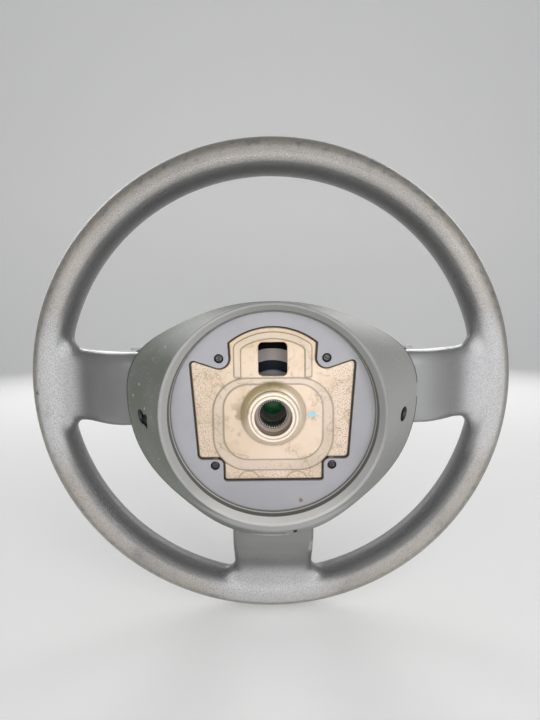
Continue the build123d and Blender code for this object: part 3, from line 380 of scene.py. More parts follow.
# Hub plate
# Steel pressing with a yellow passivated zinc coat, stepped up to the boss and round the window.
# The coat is mottled from cream to pink, stained brown beside the boss, and speckled on the outer flanges.
# Painted shade darkens its left side and top, the step bands and sloped faces, the corners and the faces
# deep below the disc.
PLATE_CREAM = (0.721, 0.578, 0.449, 1)
PLATE_PINK = (0.745, 0.590, 0.475, 1)
PLATE_GOLD_AND_SHADE = (0.530, 0.415, 0.272, 1)
PLATE_STAIN_AND_SHADE = (0.272, 0.211, 0.143, 1)
PLATE_SPECK = (0.286, 0.245, 0.204, 1)
PLATE_STEP_SHADE = (0.449, 0.415, 0.374, 1)
PLATE_SHADE = (0.150, 0.122, 0.095, 1)
PLATE_VEIN = (0.330, 0.255, 0.175, 1)
PAINT_DAB = (0.345, 0.610, 0.735, 1)
OTHER_CLOUDS = (3, 1, 2)
LEFT_SHADE_SPAN = (0.004, -0.030)
TOP_SHADE_SPAN = (0.030, 0.048)
FLANGE_START = (0.030, 0.043)
BOSS_STAIN_PLACE = (-0.0200, 0, -0.0045)
BOSS_STAIN_STRETCH = (1.0, 0, 0.70)
BOSS_STAIN_RADII = (0.0135, 0.0030)
PLATE_STEP_FRONT = (0.0096, 0.0099)
PLATE_STEP_BACK = (0.0112, 0.0109)
PLATE_REACH = 0.0022
PLATE_EDGE_R = 0.0011
SHADE_DEPTH = (0.0130, 0.0148)
STAMP_PLACES = ((-0.0158, -0.0446), (0.0149, -0.0449))
STAMP_R = 0.0068
STAMP_LINE = (0.0007, 0.0001)
DAB_PLACE = (0.0242, 0.0, -0.0003)
DAB_STRETCH = (0.62, 0, 1.0)
DAB_RADII = (0.0022, 0.0013)
DAB_SWAY = 0.0022


def slope(tree):
    """How far a face turns away from the wheel's plane: 0 when it lies in it, 1 when it is square to it."""
    facing = put(tree, "NewGeometry").outputs["True Normal"]
    return less(tree, 1.0, bare(tree, put(tree, "SeparateXYZ", Vector=facing).outputs[1]))


def soft_edge(tree, radius):
    """A normal that rounds the sharp edges of a piece."""
    return put(tree, "Bevel", {"samples": 6}, Radius=radius).outputs[0]


plate_finish, tree, shader, place = new_finish("yellow_passivate")
x, y, z = axis_distance(tree, place)[1]
cloud = blotch(tree, place, 60.0, 6.0)
other_cloud = blotch(tree, put(tree, "Mapping", Vector=place, Location=OTHER_CLOUDS).outputs[0], 75.0, 7.0)
speckle = blotch(tree, place, 1300.0, 3.0)
tone = mix(tree, fade(tree, cloud, 0.35, 0.65), PLATE_CREAM, PLATE_PINK)
tone = mix(tree, times(tree, fade(tree, other_cloud, 0.46, 0.70), 0.60), tone, PLATE_GOLD_AND_SHADE)
# Painted shade: the plate's left side and top are darkened towards gold.
tone = mix(tree, times(tree, fade(tree, x, *LEFT_SHADE_SPAN), 0.35), tone, PLATE_GOLD_AND_SHADE)
tone = mix(tree, times(tree, fade(tree, z, *TOP_SHADE_SPAN), 0.70), tone, PLATE_GOLD_AND_SHADE)
outward = either(tree, bare(tree, x), times(tree, z, -1.0))
speckled = times(tree, fade(tree, outward, *FLANGE_START), fade(tree, speckle, 0.50, 0.61))
tone = mix(tree, times(tree, speckled, 0.80), tone, PLATE_SPECK)
from_stain = spot(tree, place, BOSS_STAIN_PLACE, BOSS_STAIN_STRETCH)
veins = blotch(tree, place, 150.0, 9.0)
stained = times(tree, fade(tree, from_stain, *BOSS_STAIN_RADII), fade(tree, veins, 0.44, 0.60))
tone = mix(tree, times(tree, stained, 0.70), tone, PLATE_STAIN_AND_SHADE)
# Painted shade on the step band between the plate's levels.
on_step = times(tree, fade(tree, y, *PLATE_STEP_FRONT), fade(tree, y, *PLATE_STEP_BACK))
tone = mix(tree, times(tree, on_step, 0.30), tone, PLATE_STEP_SHADE)
cracks = bare(tree, less(tree, blotch(tree, place, 85.0, 9.0), 0.5))
cracked = times(tree, fade(tree, cracks, 0.022, 0.004), fade(tree, other_cloud, 0.42, 0.58))
tone = mix(tree, times(tree, cracked, 0.55), tone, PLATE_VEIN)
# Painted shade on faces that slope away from the wheel's plane.
tone = mix(tree, times(tree, fade(tree, slope(tree), 0.08, 0.25), 0.40), tone, PLATE_STEP_SHADE)
# Painted shade in the corners, in the stain's brown.
corner_shade = times(tree, fade(tree, crevice(tree, PLATE_REACH), 0.92, 0.55), 0.85)
tone = mix(tree, corner_shade, tone, PLATE_STAIN_AND_SHADE)
for stamp_x, stamp_z in STAMP_PLACES:
    from_stamp = spot(tree, place, (stamp_x, 0, stamp_z), (1, 0, 1))
    ring = bare(tree, less(tree, from_stamp, STAMP_R))
    tone = mix(tree, times(tree, fade(tree, ring, *STAMP_LINE), 0.7), tone, PLATE_STAIN_AND_SHADE)
ragged = times(tree, less(tree, blotch(tree, place, 330.0), 0.5), DAB_SWAY)
daubed = fade(tree, plus(tree, spot(tree, place, DAB_PLACE, DAB_STRETCH), ragged), *DAB_RADII)
tone = mix(tree, daubed, tone, PAINT_DAB)
tone = mix(tree, fade(tree, y, *SHADE_DEPTH), tone, PLATE_SHADE)
tree.links.new(tone, shader.inputs["Base Color"])
tree.links.new(gloss_range(tree, cloud, 0.38, 0.52), shader.inputs["Roughness"])
tree.links.new(times(tree, less(tree, 1.0, daubed), 0.30), shader.inputs["Metallic"])
rolled = bump(tree, speckle, 0.12, 0.0002, Normal=soft_edge(tree, PLATE_EDGE_R))
tree.links.new(rolled, shader.inputs["Normal"])
dress("hub_plate", plate_finish)

# Splined boss
# Turned steel, pressed through the plate, with its end face and bore machined after coating.
# The end face keeps fine turning rings, its foot is olive with old coating and a painted reflection
# strongest on the upper left, and the teeth hold grease.
# Painted shade darkens the corners and the bore further in.
BOSS_CREAM = (0.800, 0.680, 0.560, 1)
BOSS_OLIVE_AND_REFLECTION = (0.480, 0.390, 0.215, 1)
BOSS_GRIME_AND_SHADE = (0.230, 0.180, 0.120, 1)
BORE_BROWN = (0.330, 0.265, 0.220, 1)
TOOTH_STEEL = (0.780, 0.740, 0.690, 1)
TOOTH_GREASE = (0.090, 0.078, 0.066, 1)
BORE_DEPTH_SHADE = (0.130, 0.120, 0.110, 1)
RING_WAVE = {"wave_type": "RINGS", "rings_direction": "Y"}
OLIVE_SIDE = (0.64, 0.77)
OLIVE_START = (0.0030, 0.0120)
FLANK_DEPTH = (0.0008, 0.0030)
BORE_RADII = (0.0119, 0.0115)
TOOTH_ZONE = (0.0096, 0.0094)
TOOTH_SPAN = (0.00855, 0.00915)
BORE_DEPTH = (0.0105, 0.0150)
BOSS_REACH = 0.0025
BOSS_EDGE_R = 0.0004
boss_finish, tree, shader, place = new_finish("turned_steel")
radius, (x, y, z) = axis_distance(tree, place)
cloud = blotch(tree, place, 180.0, 5.0)
lathe = put(tree, "TexWave", RING_WAVE, Vector=place, Scale=520.0, Distortion=0.6).outputs["Fac"]
# The flank's olive is old coating, with a painted reflection that makes it much stronger on the upper left.
upper_left = less(tree, times(tree, z, OLIVE_SIDE[1]), times(tree, x, OLIVE_SIDE[0]))
olive_and_reflection_share = plus(tree, times(tree, fade(tree, upper_left, *OLIVE_START), 0.80), 0.15)
flank = times(tree, fade(tree, y, *FLANK_DEPTH), fade(tree, cloud, 0.15, 0.45))
tone = mix(tree, times(tree, flank, olive_and_reflection_share), BOSS_CREAM, BOSS_OLIVE_AND_REFLECTION)
tone = mix(tree, times(tree, fade(tree, cloud, 0.58, 0.75), 0.40), tone, BOSS_GRIME_AND_SHADE)
# Painted shade in the corners.
corner_shade = times(tree, fade(tree, crevice(tree, BOSS_REACH), 0.85, 0.50), 0.80)
tone = mix(tree, corner_shade, tone, BOSS_GRIME_AND_SHADE)
tone = mix(tree, fade(tree, radius, *BORE_RADII), tone, BORE_BROWN)
tooth = mix(tree, fade(tree, radius, *TOOTH_SPAN), TOOTH_STEEL, TOOTH_GREASE)
tone = mix(tree, fade(tree, radius, *TOOTH_ZONE), tone, tooth)
# Painted shade: the bore darkens further in.
tone = mix(tree, fade(tree, y, *BORE_DEPTH), tone, BORE_DEPTH_SHADE)
tree.links.new(tone, shader.inputs["Base Color"])
shader.inputs["Metallic"].default_value = 0.45
shader.inputs["Roughness"].default_value = 0.36
turned = bump(tree, lathe, 0.10, 0.00015, Normal=soft_edge(tree, BOSS_EDGE_R))
tree.links.new(turned, shader.inputs["Normal"])
dress("splined_boss", boss_finish)

# Rear cover
# Hard plastic moulding, screwed to the hub plate, with a satin disc and a matt outer wall.
# The wall is olive with dust; painted shade darkens its left side and dulls its lower and upper right, and a
# painted highlight lies under the lip at the bottom.
# The lip has painted shade on its upper right and painted light at its foot; the step down to the disc has
# painted shade with a painted highlight band.
# Painted shade darkens the corners and is painted black inside, in the side hole, along the bottom of the
# back edge and in the bottom slot.
# The bottom edge is cracked pale.
DISC_GREY = (0.367, 0.363, 0.385, 1)
DISC_DULL = (0.306, 0.303, 0.320, 1)
DISC_STAIN = (0.204, 0.150, 0.082, 1)
WALL_OLIVE_DUST_AND_SHADE = (0.150, 0.165, 0.128, 1)
WALL_GREY = (0.345, 0.348, 0.330, 1)
WALL_HIGHLIGHT = (0.530, 0.530, 0.535, 1)
LIP_GREY = (0.350, 0.346, 0.336, 1)
LIP_SHADE = (0.265, 0.265, 0.258, 1)
LIP_LIGHT = (0.500, 0.490, 0.465, 1)
STEP_SHADE = (0.109, 0.109, 0.090, 1)
STEP_HIGHLIGHT = (0.571, 0.558, 0.530, 1)
DUST_PALE = (0.612, 0.598, 0.544, 1)
TORN_PALE = (0.653, 0.646, 0.626, 1)
COVER_CORNER_SHADE = (0.045, 0.045, 0.040, 1)
HIDDEN_SHADE_BLACK = (0.010, 0.010, 0.010, 1)
WALL_RADII = (0.0697, 0.0706)
WALL_DEPTH = (0.0105, 0.0125)
LIP_RADII = (0.0647, 0.0651)
LIP_UPPER_RIGHT = (0.020, 0.070)
LIP_FOOT = (-0.042, -0.062)
STEP_INNER = (0.0639, 0.0641)
STEP_OUTER = (0.0651, 0.0649)
STEP_BAND_FRONT = (0.0066, 0.0072)
STEP_BAND_BACK = (0.0080, 0.0086)
DISC_LINE_R = 0.0637
DISC_LINE = (0.0005, 0.0002)
WALL_ACROSS = (-0.030, 0.060)
LOW_RIGHT = ((0.025, 0.065), (0.000, -0.050))
HIGH_RIGHT = ((0.015, 0.060), (0.010, 0.060))
UNDER_LIP_RISE = (-0.058, -0.072)
UNDER_LIP_DEPTH = (0.034, 0.018)
DUST_PLACES = ((-0.093, 0.007), (-0.082, 0.002), (-0.068, 0.041), (-0.087, 0.016), (-0.074, -0.031))
DUST_STRETCH = (1, 0, 0.7)
DUST_RADII = (0.0012, 0.0007)
DUST_SWAY = 0.0008
STAIN_PLACE = (0.0173, 0, -0.0569)
STAIN_STRETCH = (1, 0, 0.8)
STAIN_RADII = (0.0026, 0.0016)
STAIN_SWAY = 0.002
CRACK_PLACE = (-0.0040, 0, -0.0985)
CRACK_STRETCH = (0.11, 0, 1.0)
CRACK_RADII = (0.0036, 0.0026)
CRACK_SWAY = 0.003
COVER_REACH = 0.0025
COVER_EDGE_R = 0.0006
INSIDE_TURN = (-0.001, -0.006)
INSIDE_DEPTH = (0.0112, 0.0121)
ACCESS_PLACE = (0.0250, -0.0050)
ACCESS_RADII = (0.00495, 0.00485)
BACK_EDGE_DEPTH = (0.0446, 0.0452)
BACK_EDGE_RISE = (-0.085, -0.080)
SLOT_PLACE = (0.0112, 0.0340)
SLOT_STRETCH = 1.3
SLOT_RADII = (0.0046, 0.0038)
SLOT_RISE = (-0.070, -0.075)
cover_finish, tree, shader, place = new_finish("cover_plastic")
radius, (x, y, z) = axis_distance(tree, place)
cloud = blotch(tree, place, 30.0, 6.0)
dust = put(tree, "TexVoronoi", Vector=place, Scale=330.0, Randomness=1.0).outputs["Distance"]
wall = either(tree, fade(tree, radius, *WALL_RADII), fade(tree, y, *WALL_DEPTH))
tone = mix(tree, times(tree, fade(tree, cloud, 0.35, 0.70), 0.6), DISC_GREY, DISC_DULL)
# Painted shade on the lip's upper right and painted light at its foot.
lip_tone = mix(tree, fade(tree, plus(tree, x, z), *LIP_UPPER_RIGHT), LIP_GREY, LIP_SHADE)
lip_tone = mix(tree, fade(tree, z, *LIP_FOOT), lip_tone, LIP_LIGHT)
tone = mix(tree, fade(tree, radius, *LIP_RADII), tone, lip_tone)
# The step down to the disc: painted shade on its wall with a painted highlight band, and a painted shade
# line at the disc's edge.
on_step = times(tree, fade(tree, radius, *STEP_INNER), fade(tree, radius, *STEP_OUTER))
step_shade_and_highlight = mix(tree, fade(tree, y, *STEP_BAND_FRONT), STEP_SHADE, STEP_HIGHLIGHT)
step_shade_and_highlight = mix(tree, fade(tree, y, *STEP_BAND_BACK), step_shade_and_highlight, STEP_SHADE)
tone = mix(tree, on_step, tone, step_shade_and_highlight)
disc_shade_line = fade(tree, bare(tree, less(tree, radius, DISC_LINE_R)), *DISC_LINE)
tone = mix(tree, times(tree, disc_shade_line, 0.5), tone, STEP_SHADE)
# The wall's olive on the left is dust with painted shade; it is paler grey on the right.
wall_tone = mix(tree, fade(tree, x, *WALL_ACROSS), WALL_OLIVE_DUST_AND_SHADE, WALL_GREY)
wall_tone = mix(tree, times(tree, fade(tree, cloud, 0.40, 0.70), 0.25), wall_tone, DISC_DULL)
# Painted shade dulls the wall's lower right and upper right.
low_right_shade = times(tree, fade(tree, x, *LOW_RIGHT[0]), fade(tree, z, *LOW_RIGHT[1]))
high_right_shade = times(tree, fade(tree, x, *HIGH_RIGHT[0]), fade(tree, z, *HIGH_RIGHT[1]))
wall_tone = mix(tree, times(tree, either(tree, low_right_shade, high_right_shade), 0.40), wall_tone, STEP_SHADE)
# Painted highlight on the wall just under the lip at the bottom.
under_lip_highlight = times(tree, fade(tree, z, *UNDER_LIP_RISE), fade(tree, y, *UNDER_LIP_DEPTH))
wall_tone = mix(tree, times(tree, under_lip_highlight, 0.80), wall_tone, WALL_HIGHLIGHT)
tone = mix(tree, wall, tone, wall_tone)
dusty = times(tree, fade(tree, dust, 0.170, 0.060), fade(tree, cloud, 0.36, 0.54))
settled = plus(tree, times(tree, wall, 0.60), 0.08)
tone = mix(tree, times(tree, dusty, settled), tone, DUST_PALE)
for dust_x, dust_z in DUST_PLACES:
    speck = spot(tree, place, (dust_x, 0, dust_z), DUST_STRETCH)
    speck = plus(tree, speck, times(tree, cloud, DUST_SWAY))
    tone = mix(tree, times(tree, fade(tree, speck, *DUST_RADII), 0.8), tone, DUST_PALE)
stain = times(tree, blotch(tree, place, 500.0), STAIN_SWAY)
stain = plus(tree, spot(tree, place, STAIN_PLACE, STAIN_STRETCH), stain)
tone = mix(tree, fade(tree, stain, *STAIN_RADII), tone, DISC_STAIN)
crack = times(tree, blotch(tree, place, 420.0), CRACK_SWAY)
crack = plus(tree, spot(tree, place, CRACK_PLACE, CRACK_STRETCH), crack)
tone = mix(tree, times(tree, fade(tree, crack, *CRACK_RADII), wall), tone, TORN_PALE)
# Painted shade in the corners.
corner_shade = times(tree, fade(tree, crevice(tree, COVER_REACH), 0.70, 0.35), 0.80)
tone = mix(tree, corner_shade, tone, COVER_CORNER_SHADE)
# Painted shade: inward faces, the side hole, the bottom of the back edge and the bottom slot are painted
# black.
facing = put(tree, "NewGeometry").outputs["True Normal"]
turned_out = dot(tree, facing, put(tree, "CombineXYZ", X=x, Z=z).outputs[0])
inside = times(tree, fade(tree, turned_out, *INSIDE_TURN), fade(tree, y, *INSIDE_DEPTH))
hole_y = less(tree, y, ACCESS_PLACE[0])
hole_z = less(tree, z, ACCESS_PLACE[1])
from_hole = length(tree, put(tree, "CombineXYZ", X=hole_y, Y=hole_z).outputs[0])
in_hole = times(tree, fade(tree, from_hole, *ACCESS_RADII), wall)
back_edge = times(tree, fade(tree, y, *BACK_EDGE_DEPTH), fade(tree, z, *BACK_EDGE_RISE))
slot_x = less(tree, x, SLOT_PLACE[0])
slot_y = times(tree, less(tree, y, SLOT_PLACE[1]), SLOT_STRETCH)
from_slot = length(tree, put(tree, "CombineXYZ", X=slot_x, Y=slot_y).outputs[0])
in_slot = times(tree, fade(tree, from_slot, *SLOT_RADII), fade(tree, z, *SLOT_RISE))
hidden_shade = either(tree, either(tree, inside, in_hole), either(tree, back_edge, in_slot))
tone = mix(tree, hidden_shade, tone, HIDDEN_SHADE_BLACK)
tree.links.new(tone, shader.inputs["Base Color"])
satin = put(tree, "MapRange", Value=wall, To_Min=0.40, To_Max=0.50).outputs[0]
tree.links.new(satin, shader.inputs["Roughness"])
moulded = bump(tree, blotch(tree, place, 1500.0), 0.10, 0.0002, Normal=soft_edge(tree, COVER_EDGE_R))
tree.links.new(moulded, shader.inputs["Normal"])
dress("rear_cover", cover_finish)

# Cover screws and module nuts
# Small black oxidised steel fasteners, driven through the disc and on the ring's studs.
# The heads are worn bright in patches.
OXIDE_BLACK = (0.040, 0.039, 0.041, 1)
OXIDE_WORN = (0.180, 0.175, 0.175, 1)
oxide_tones = (OXIDE_BLACK, OXIDE_WORN)
oxide_finish = clouded_finish(
    "black_oxide", oxide_tones, 800.0, (0.52, 0.70), roughness=0.34, metal=0.7, detail=5.0
)[0]
for node in ("cover_screws", "module_nuts"):
    dress(node, oxide_finish)

# Side bolts and nuts
# Black oxidised steel, turned and pressed, oily and dull with dust.
# They join the module's tray to the horn plate and are reached through the side holes.
OIL_BLACK = (0.010, 0.010, 0.010, 1)
OIL_DUST = (0.024, 0.023, 0.021, 1)
oil_tones = (OIL_BLACK, OIL_DUST)
oiled_finish = clouded_finish(
    "oiled_black_oxide", oil_tones, 600.0, (0.45, 0.65), roughness=0.55, detail=5.0
)[0]
for node in ("side_bolts", "side_nuts"):
    dress(node, oiled_finish)

# Horn guide pins, horn plate, module tray and clamp ring
# Steel with a bright zinc coat. The turned pins are riveted in the hub plate and guide the horn plate.
# Horn plate, tray and ring are pressed and hold the module together behind the pad.
ZINC = (0.560, 0.560, 0.550, 1)
ZINC_DULL = (0.380, 0.385, 0.390, 1)
zinc_finish, tree, shader, place = new_finish("bright_zinc")
spangle = put(tree, "TexVoronoi", Vector=place, Scale=160.0).outputs["Color"]
spangle = put(tree, "RGBToBW", Color=spangle).outputs[0]
tree.links.new(mix(tree, spangle, ZINC, ZINC_DULL), shader.inputs["Base Color"])
shader.inputs["Metallic"].default_value = 0.9
shader.inputs["Roughness"].default_value = 0.33
for node in ("horn_guide_pins", "horn_plate", "module_base", "cushion_ring"):
    dress(node, zinc_finish)

# Horn springs
# Coils of drawn steel wire, one round each guide pin, that push the horn plate away from the hub.
# The wire is bare and keeps some oil.
WIRE_GREY = (0.330, 0.335, 0.345, 1)
WIRE_OIL = (0.160, 0.150, 0.140, 1)
wire_tones = (WIRE_GREY, WIRE_OIL)
wire_finish = clouded_finish(
    "spring_wire", wire_tones, 300.0, (0.48, 0.66), roughness=0.28, metal=0.9, detail=5.0
)[0]
for number in (1, 2, 3, 4):
    dress(f"horn_spring_{number}", wire_finish)

# Horn contacts
# Turned brass posts on the hub and rivets on the horn plate, browned in patches.
BRASS = (0.640, 0.440, 0.150, 1)
BRASS_BROWN = (0.280, 0.170, 0.070, 1)
brass_tones = (BRASS, BRASS_BROWN)
brass_finish = clouded_finish(
    "contact_brass", brass_tones, 400.0, (0.42, 0.62), roughness=0.30, metal=1.0, detail=5.0
)[0]
for node in ("fixed_contacts", "moving_contacts"):
    dress(node, brass_finish)

# Guide bushes
# Natural nylon, moulded and slightly yellowed, pressed into the horn plate round each pin.
NYLON = (0.720, 0.700, 0.620, 1)
NYLON_AGED = (0.600, 0.560, 0.450, 1)
nylon_tones = (NYLON, NYLON_AGED)
nylon_finish, tree, shader, place = clouded_finish(
    "natural_nylon", nylon_tones, 150.0, (0.40, 0.65), roughness=0.42
)
shader.inputs["Subsurface Weight"].default_value = 0.1
dress("guide_bushes", nylon_finish)

# Gas generator
# Drawn steel can with a turned closure, clamped to the module's tray by its flange.
# It is pale inside its groove and blue-grey outside it, and the flange is painted black as shade.
GENERATOR_BLUE = (0.040, 0.050, 0.070, 1)
GENERATOR_PALE = (0.880, 0.890, 0.940, 1)
GENERATOR_FLANGE_SHADE = (0.003, 0.003, 0.003, 1)
GENERATOR_GROOVE = (0.0199, 0.0205)
GENERATOR_FLANGE = (0.0355, 0.0362)
generator_finish, tree, shader, place = new_finish("generator_steel")
radius = axis_distance(tree, place)[0]
rings = put(tree, "TexWave", RING_WAVE, Vector=place, Scale=260.0, Distortion=0.4).outputs["Fac"]
tone = mix(tree, fade(tree, radius, *GENERATOR_GROOVE), GENERATOR_PALE, GENERATOR_BLUE)
# Painted shade: the flange is painted black.
tone = mix(tree, fade(tree, radius, *GENERATOR_FLANGE), tone, GENERATOR_FLANGE_SHADE)
tree.links.new(tone, shader.inputs["Base Color"])
tree.links.new(bump(tree, rings, 0.15, 0.0001), shader.inputs["Normal"])
shader.inputs["Roughness"].default_value = 0.60
shader.inputs["Specular IOR Level"].default_value = 0.12
dress("inflator", generator_finish)

# Generator label
# A plain pale film without print, stuck to the closure and slightly yellowed.
LABEL_PALE = (0.940, 0.830, 0.790, 1)
LABEL_YELLOWED = (0.860, 0.750, 0.690, 1)
label_tones = (LABEL_PALE, LABEL_YELLOWED)
label_finish = clouded_finish(
    "label_film", label_tones, 90.0, (0.35, 0.65), roughness=0.45
)[0]
dress("inflator_label", label_finish)

# Firing plug
# Glossy green plastic moulding, pressed into the generator's socket.
PLUG_GREEN = (0.020, 0.260, 0.075, 1)
PLUG_DARK = (0.010, 0.130, 0.038, 1)
plug_tones = (PLUG_DARK, PLUG_GREEN)
plug_finish = clouded_finish(
    "plug_plastic", plug_tones, 260.0, (0.35, 0.65), roughness=0.22
)[0]
dress("squib_connector", plug_finish)

# Folded bag
# Woven cloth, folded in flat layers round the can and held by the ring below it.
BAG_CLOTH = (0.600, 0.580, 0.540, 1)
BAG_SHADE = (0.450, 0.430, 0.400, 1)
BAG_VOXEL = 0.0022
FOLD_DEPTH = 0.0011
FOLD_PITCH = 0.0042
FOLD_SHARE = 0.7
SWAY_SCALE = 60
bag = smooth_copy("cushion_pack", "bag_folds", BAG_VOXEL)
bag_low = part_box("cushion_pack")[0]
for vertex in bag.data.vertices:
    outward = Vector((vertex.normal.x, 0, vertex.normal.z))
    fold = 0.5 + 0.5 * cos(2 * pi * (vertex.co.y - bag_low.y) / FOLD_PITCH)
    sway = 0.5 + 0.5 * noise.noise(vertex.co * SWAY_SCALE)
    vertex.co -= outward * FOLD_DEPTH * (FOLD_SHARE * fold + (1 - FOLD_SHARE) * sway)
bag_finish, tree, shader, place = new_finish("bag_cloth")
weave = put(tree, "TexWave", Vector=place, Scale=900.0).outputs["Fac"]
tree.links.new(mix(tree, blotch(tree, place, 120.0), BAG_SHADE, BAG_CLOTH), shader.inputs["Base Color"])
tree.links.new(bump(tree, weave, 0.3, 0.0002), shader.inputs["Normal"])
shader.inputs["Roughness"].default_value = 0.85
bag.data.materials.clear()
bag.data.materials.append(bag_finish)
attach(bag, "horn_pad")
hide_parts("cushion_pack")

# Horn pad
# Soft-touch plastic moulding with a fine spark-eroded grain, riveted to the module's tray.
PAD_GREY = (0.224, 0.223, 0.218, 1)
PAD_WORN = (0.252, 0.250, 0.244, 1)
PAD_EDGE_R = 0.001
pad_tones = (PAD_GREY, PAD_WORN)
pad_finish, tree, shader, place = clouded_finish(
    "pad_plastic", pad_tones, 26.0, (0.45, 0.75), roughness=0.5, detail=5.0
)
pebble = put(tree, "TexVoronoi", {"feature": "SMOOTH_F1"}, Vector=place, Scale=1000.0).outputs["Distance"]
grain = bump(tree, pebble, 0.3, 0.0002, Normal=soft_edge(tree, PAD_EDGE_R))
tree.links.new(grain, shader.inputs["Normal"])
dress("pad_cover", pad_finish)

# Pad rivets
# Light alloy, set through the pad's skirt and the tray's rim, dulled in patches.
RIVET_ALLOY = (0.620, 0.620, 0.620, 1)
RIVET_DULL = (0.420, 0.420, 0.420, 1)
rivet_tones = (RIVET_ALLOY, RIVET_DULL)
rivet_finish = clouded_finish(
    "rivet_alloy", rivet_tones, 500.0, (0.42, 0.62), roughness=0.35, metal=1.0
)[0]
dress("pad_rivets", rivet_finish)

# Wing edge trims
# Thin pale strips of bare plastic, clipped along the upper edge of each wing of the pad.
# Only their ends show on the column side, between the rear cover and the side spokes.
TRIM_PALE = (0.600, 0.590, 0.585, 1)
TRIM_DULL = (0.430, 0.420, 0.410, 1)
TRIM_SPAN = (0.0840, 0.1020)
TRIM_DEPTH = (0.0705, 0.0735)
TRIM_RISE = (0.0323, 0.0341)
TRIM_EDGE = 0.0003
strips = bmesh.new()
for side in (-1, 1):
    middle = Vector((side * sum(TRIM_SPAN), sum(TRIM_DEPTH), sum(TRIM_RISE))) / 2
    size = [end - start for start, end in (TRIM_SPAN, TRIM_DEPTH, TRIM_RISE)]
    bmesh.ops.create_cube(strips, size=1, matrix=Matrix.Translation(middle) @ Matrix.Diagonal((*size, 1)))
bmesh.ops.bevel(strips, geom=strips.edges[:], offset=TRIM_EDGE, segments=2, affect="EDGES")
trim_mesh = bpy.data.meshes.new("wing_edge_trims")
strips.to_mesh(trim_mesh)
strips.free()
trims = bpy.data.objects.new("wing_edge_trims", trim_mesh)
bpy.context.scene.collection.objects.link(trims)
trim_tones = (TRIM_PALE, TRIM_DULL)
trim_finish = clouded_finish(
    "bare_trim_plastic", trim_tones, 240.0, (0.40, 0.65), roughness=0.5
)[0]
trims.data.materials.append(trim_finish)
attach(trims, "horn_pad")

# Studio
# A pale floor that the rim stands on, curved up behind the wheel, under a pale sky.
# Four soft lamps stand behind the viewer and two light the driver's side.
FLOOR_PALE = (0.800, 0.800, 0.790, 1)
FLOOR_GLOW = 0.27
FLOOR_HALF = 3.0
FLOOR_BACK = 1.2
SWEEP_R = 0.5
SWEEP_STEPS = 16
WORLD_TINT = (0.93, 0.96, 1.0, 1)
WORLD_FILL = 0.18
WORLD_SEEN = 0.50
LAMPS = (
    ("key_lamp", (0.50, -0.85, 0.95), (0.80, 0.80), 2.9),
    ("front_lamp", (0.00, -1.25, 0.21), (0.50, 0.62), 5.2),
    ("right_lamp", (0.62, -0.95, 0.24), (0.50, 0.50), 4.0),
    ("left_lamp", (-0.58, -0.92, 0.24), (0.45, 0.45), 2.0),
    ("rear_left_lamp", (-0.55, 1.05, 0.40), (0.60, 0.60), 3.2),
    ("rear_right_lamp", (0.55, 1.05, 0.40), (0.60, 0.60), 3.2),
)


def seen_directly(tree):
    """1 for rays from the camera, from a reflection or through glass, 0 for the light on the object."""
    rays = put(tree, "LightPath").outputs
    direct = either(tree, rays["Is Camera Ray"], rays["Is Glossy Ray"])
    return either(tree, direct, rays["Is Transmission Ray"])


floor_z = cad_low.z
profile = [(-FLOOR_HALF, floor_z)]
for step in range(SWEEP_STEPS + 1):
    turn = pi / 2 * step / SWEEP_STEPS
    profile.append((FLOOR_BACK + SWEEP_R * sin(turn), floor_z + SWEEP_R * (1 - cos(turn))))
profile.append((FLOOR_BACK + SWEEP_R, floor_z + FLOOR_HALF))
sweep = bmesh.new()
edge_left = [sweep.verts.new((-FLOOR_HALF, y, z)) for y, z in profile]
edge_right = [sweep.verts.new((FLOOR_HALF, y, z)) for y, z in profile]
for index in range(len(profile) - 1):
    sweep.faces.new((edge_left[index], edge_right[index], edge_right[index + 1], edge_left[index + 1]))
floor_mesh = bpy.data.meshes.new("studio_floor")
sweep.to_mesh(floor_mesh)
sweep.free()
floor_mesh.shade_smooth()
floor = bpy.data.objects.new("studio_floor", floor_mesh)
bpy.context.scene.collection.objects.link(floor)
floor_finish, tree, shader, place = new_finish("pale_floor")
shader.inputs["Base Color"].default_value = FLOOR_PALE
shader.inputs["Roughness"].default_value = 0.8
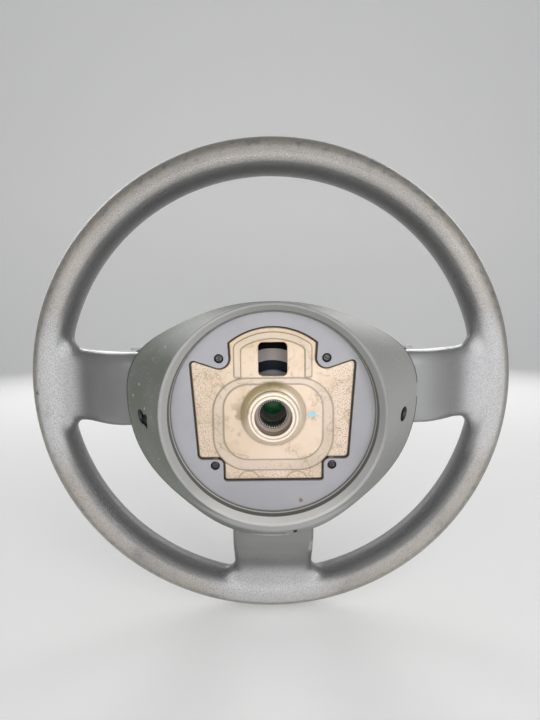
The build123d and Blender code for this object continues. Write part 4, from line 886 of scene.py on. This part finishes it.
shader.inputs["Emission Color"].default_value = FLOOR_PALE
tree.links.new(times(tree, seen_directly(tree), FLOOR_GLOW), shader.inputs["Emission Strength"])
floor.data.materials.append(floor_finish)

world = bpy.data.worlds.new("studio_world")
world.use_nodes = True
tree = world.node_tree
sky = tree.nodes["Background"]
sky.inputs["Color"].default_value = WORLD_TINT
strength = put(tree, "MapRange", Value=seen_directly(tree), To_Min=WORLD_FILL, To_Max=WORLD_SEEN).outputs[0]
tree.links.new(strength, sky.inputs["Strength"])
bpy.context.scene.world = world
for name, lamp_place, (lamp_width, lamp_height), power in LAMPS:
    lamp = bpy.data.lights.new(name, "AREA")
    lamp.shape = "RECTANGLE"
    lamp.size = lamp_width
    lamp.size_y = lamp_height
    lamp.energy = power
    holder = bpy.data.objects.new(name, lamp)
    holder.location = lamp_place
    holder.rotation_euler = (-Vector(lamp_place)).to_track_quat("-Z", "Y").to_euler()
    holder.visible_camera = False
    bpy.context.scene.collection.objects.link(holder)

# Camera
# It stands before the column side, a little above the boss, and looks slightly down.
CAMERA_PLACE = Vector((-0.004, -0.318, 0.0865))
CAMERA_PITCH = radians(9.1)
CAMERA_YAW = radians(0.4)
CAMERA_ROLL = radians(-0.5)
CAMERA_LENS = 27.05
CAMERA_NEAR = 0.01
ahead = Vector((sin(CAMERA_YAW), cos(CAMERA_YAW), 0)) * cos(CAMERA_PITCH)
ahead.z = -sin(CAMERA_PITCH)
level = Vector((cos(CAMERA_YAW), -sin(CAMERA_YAW), 0))
upward = level.cross(ahead)
rightward = cos(CAMERA_ROLL) * level + sin(CAMERA_ROLL) * upward
upward = rightward.cross(ahead)
camera = bpy.data.objects.new("camera", bpy.data.cameras.new("camera"))
camera.data.lens = CAMERA_LENS
camera.data.clip_start = CAMERA_NEAR
turn = Matrix((rightward, upward, -ahead)).transposed().to_4x4()
camera.matrix_world = Matrix.Translation(CAMERA_PLACE) @ turn
bpy.context.scene.collection.objects.link(camera)
bpy.context.scene.camera = camera
bpy.context.scene.view_settings.view_transform = "Standard"
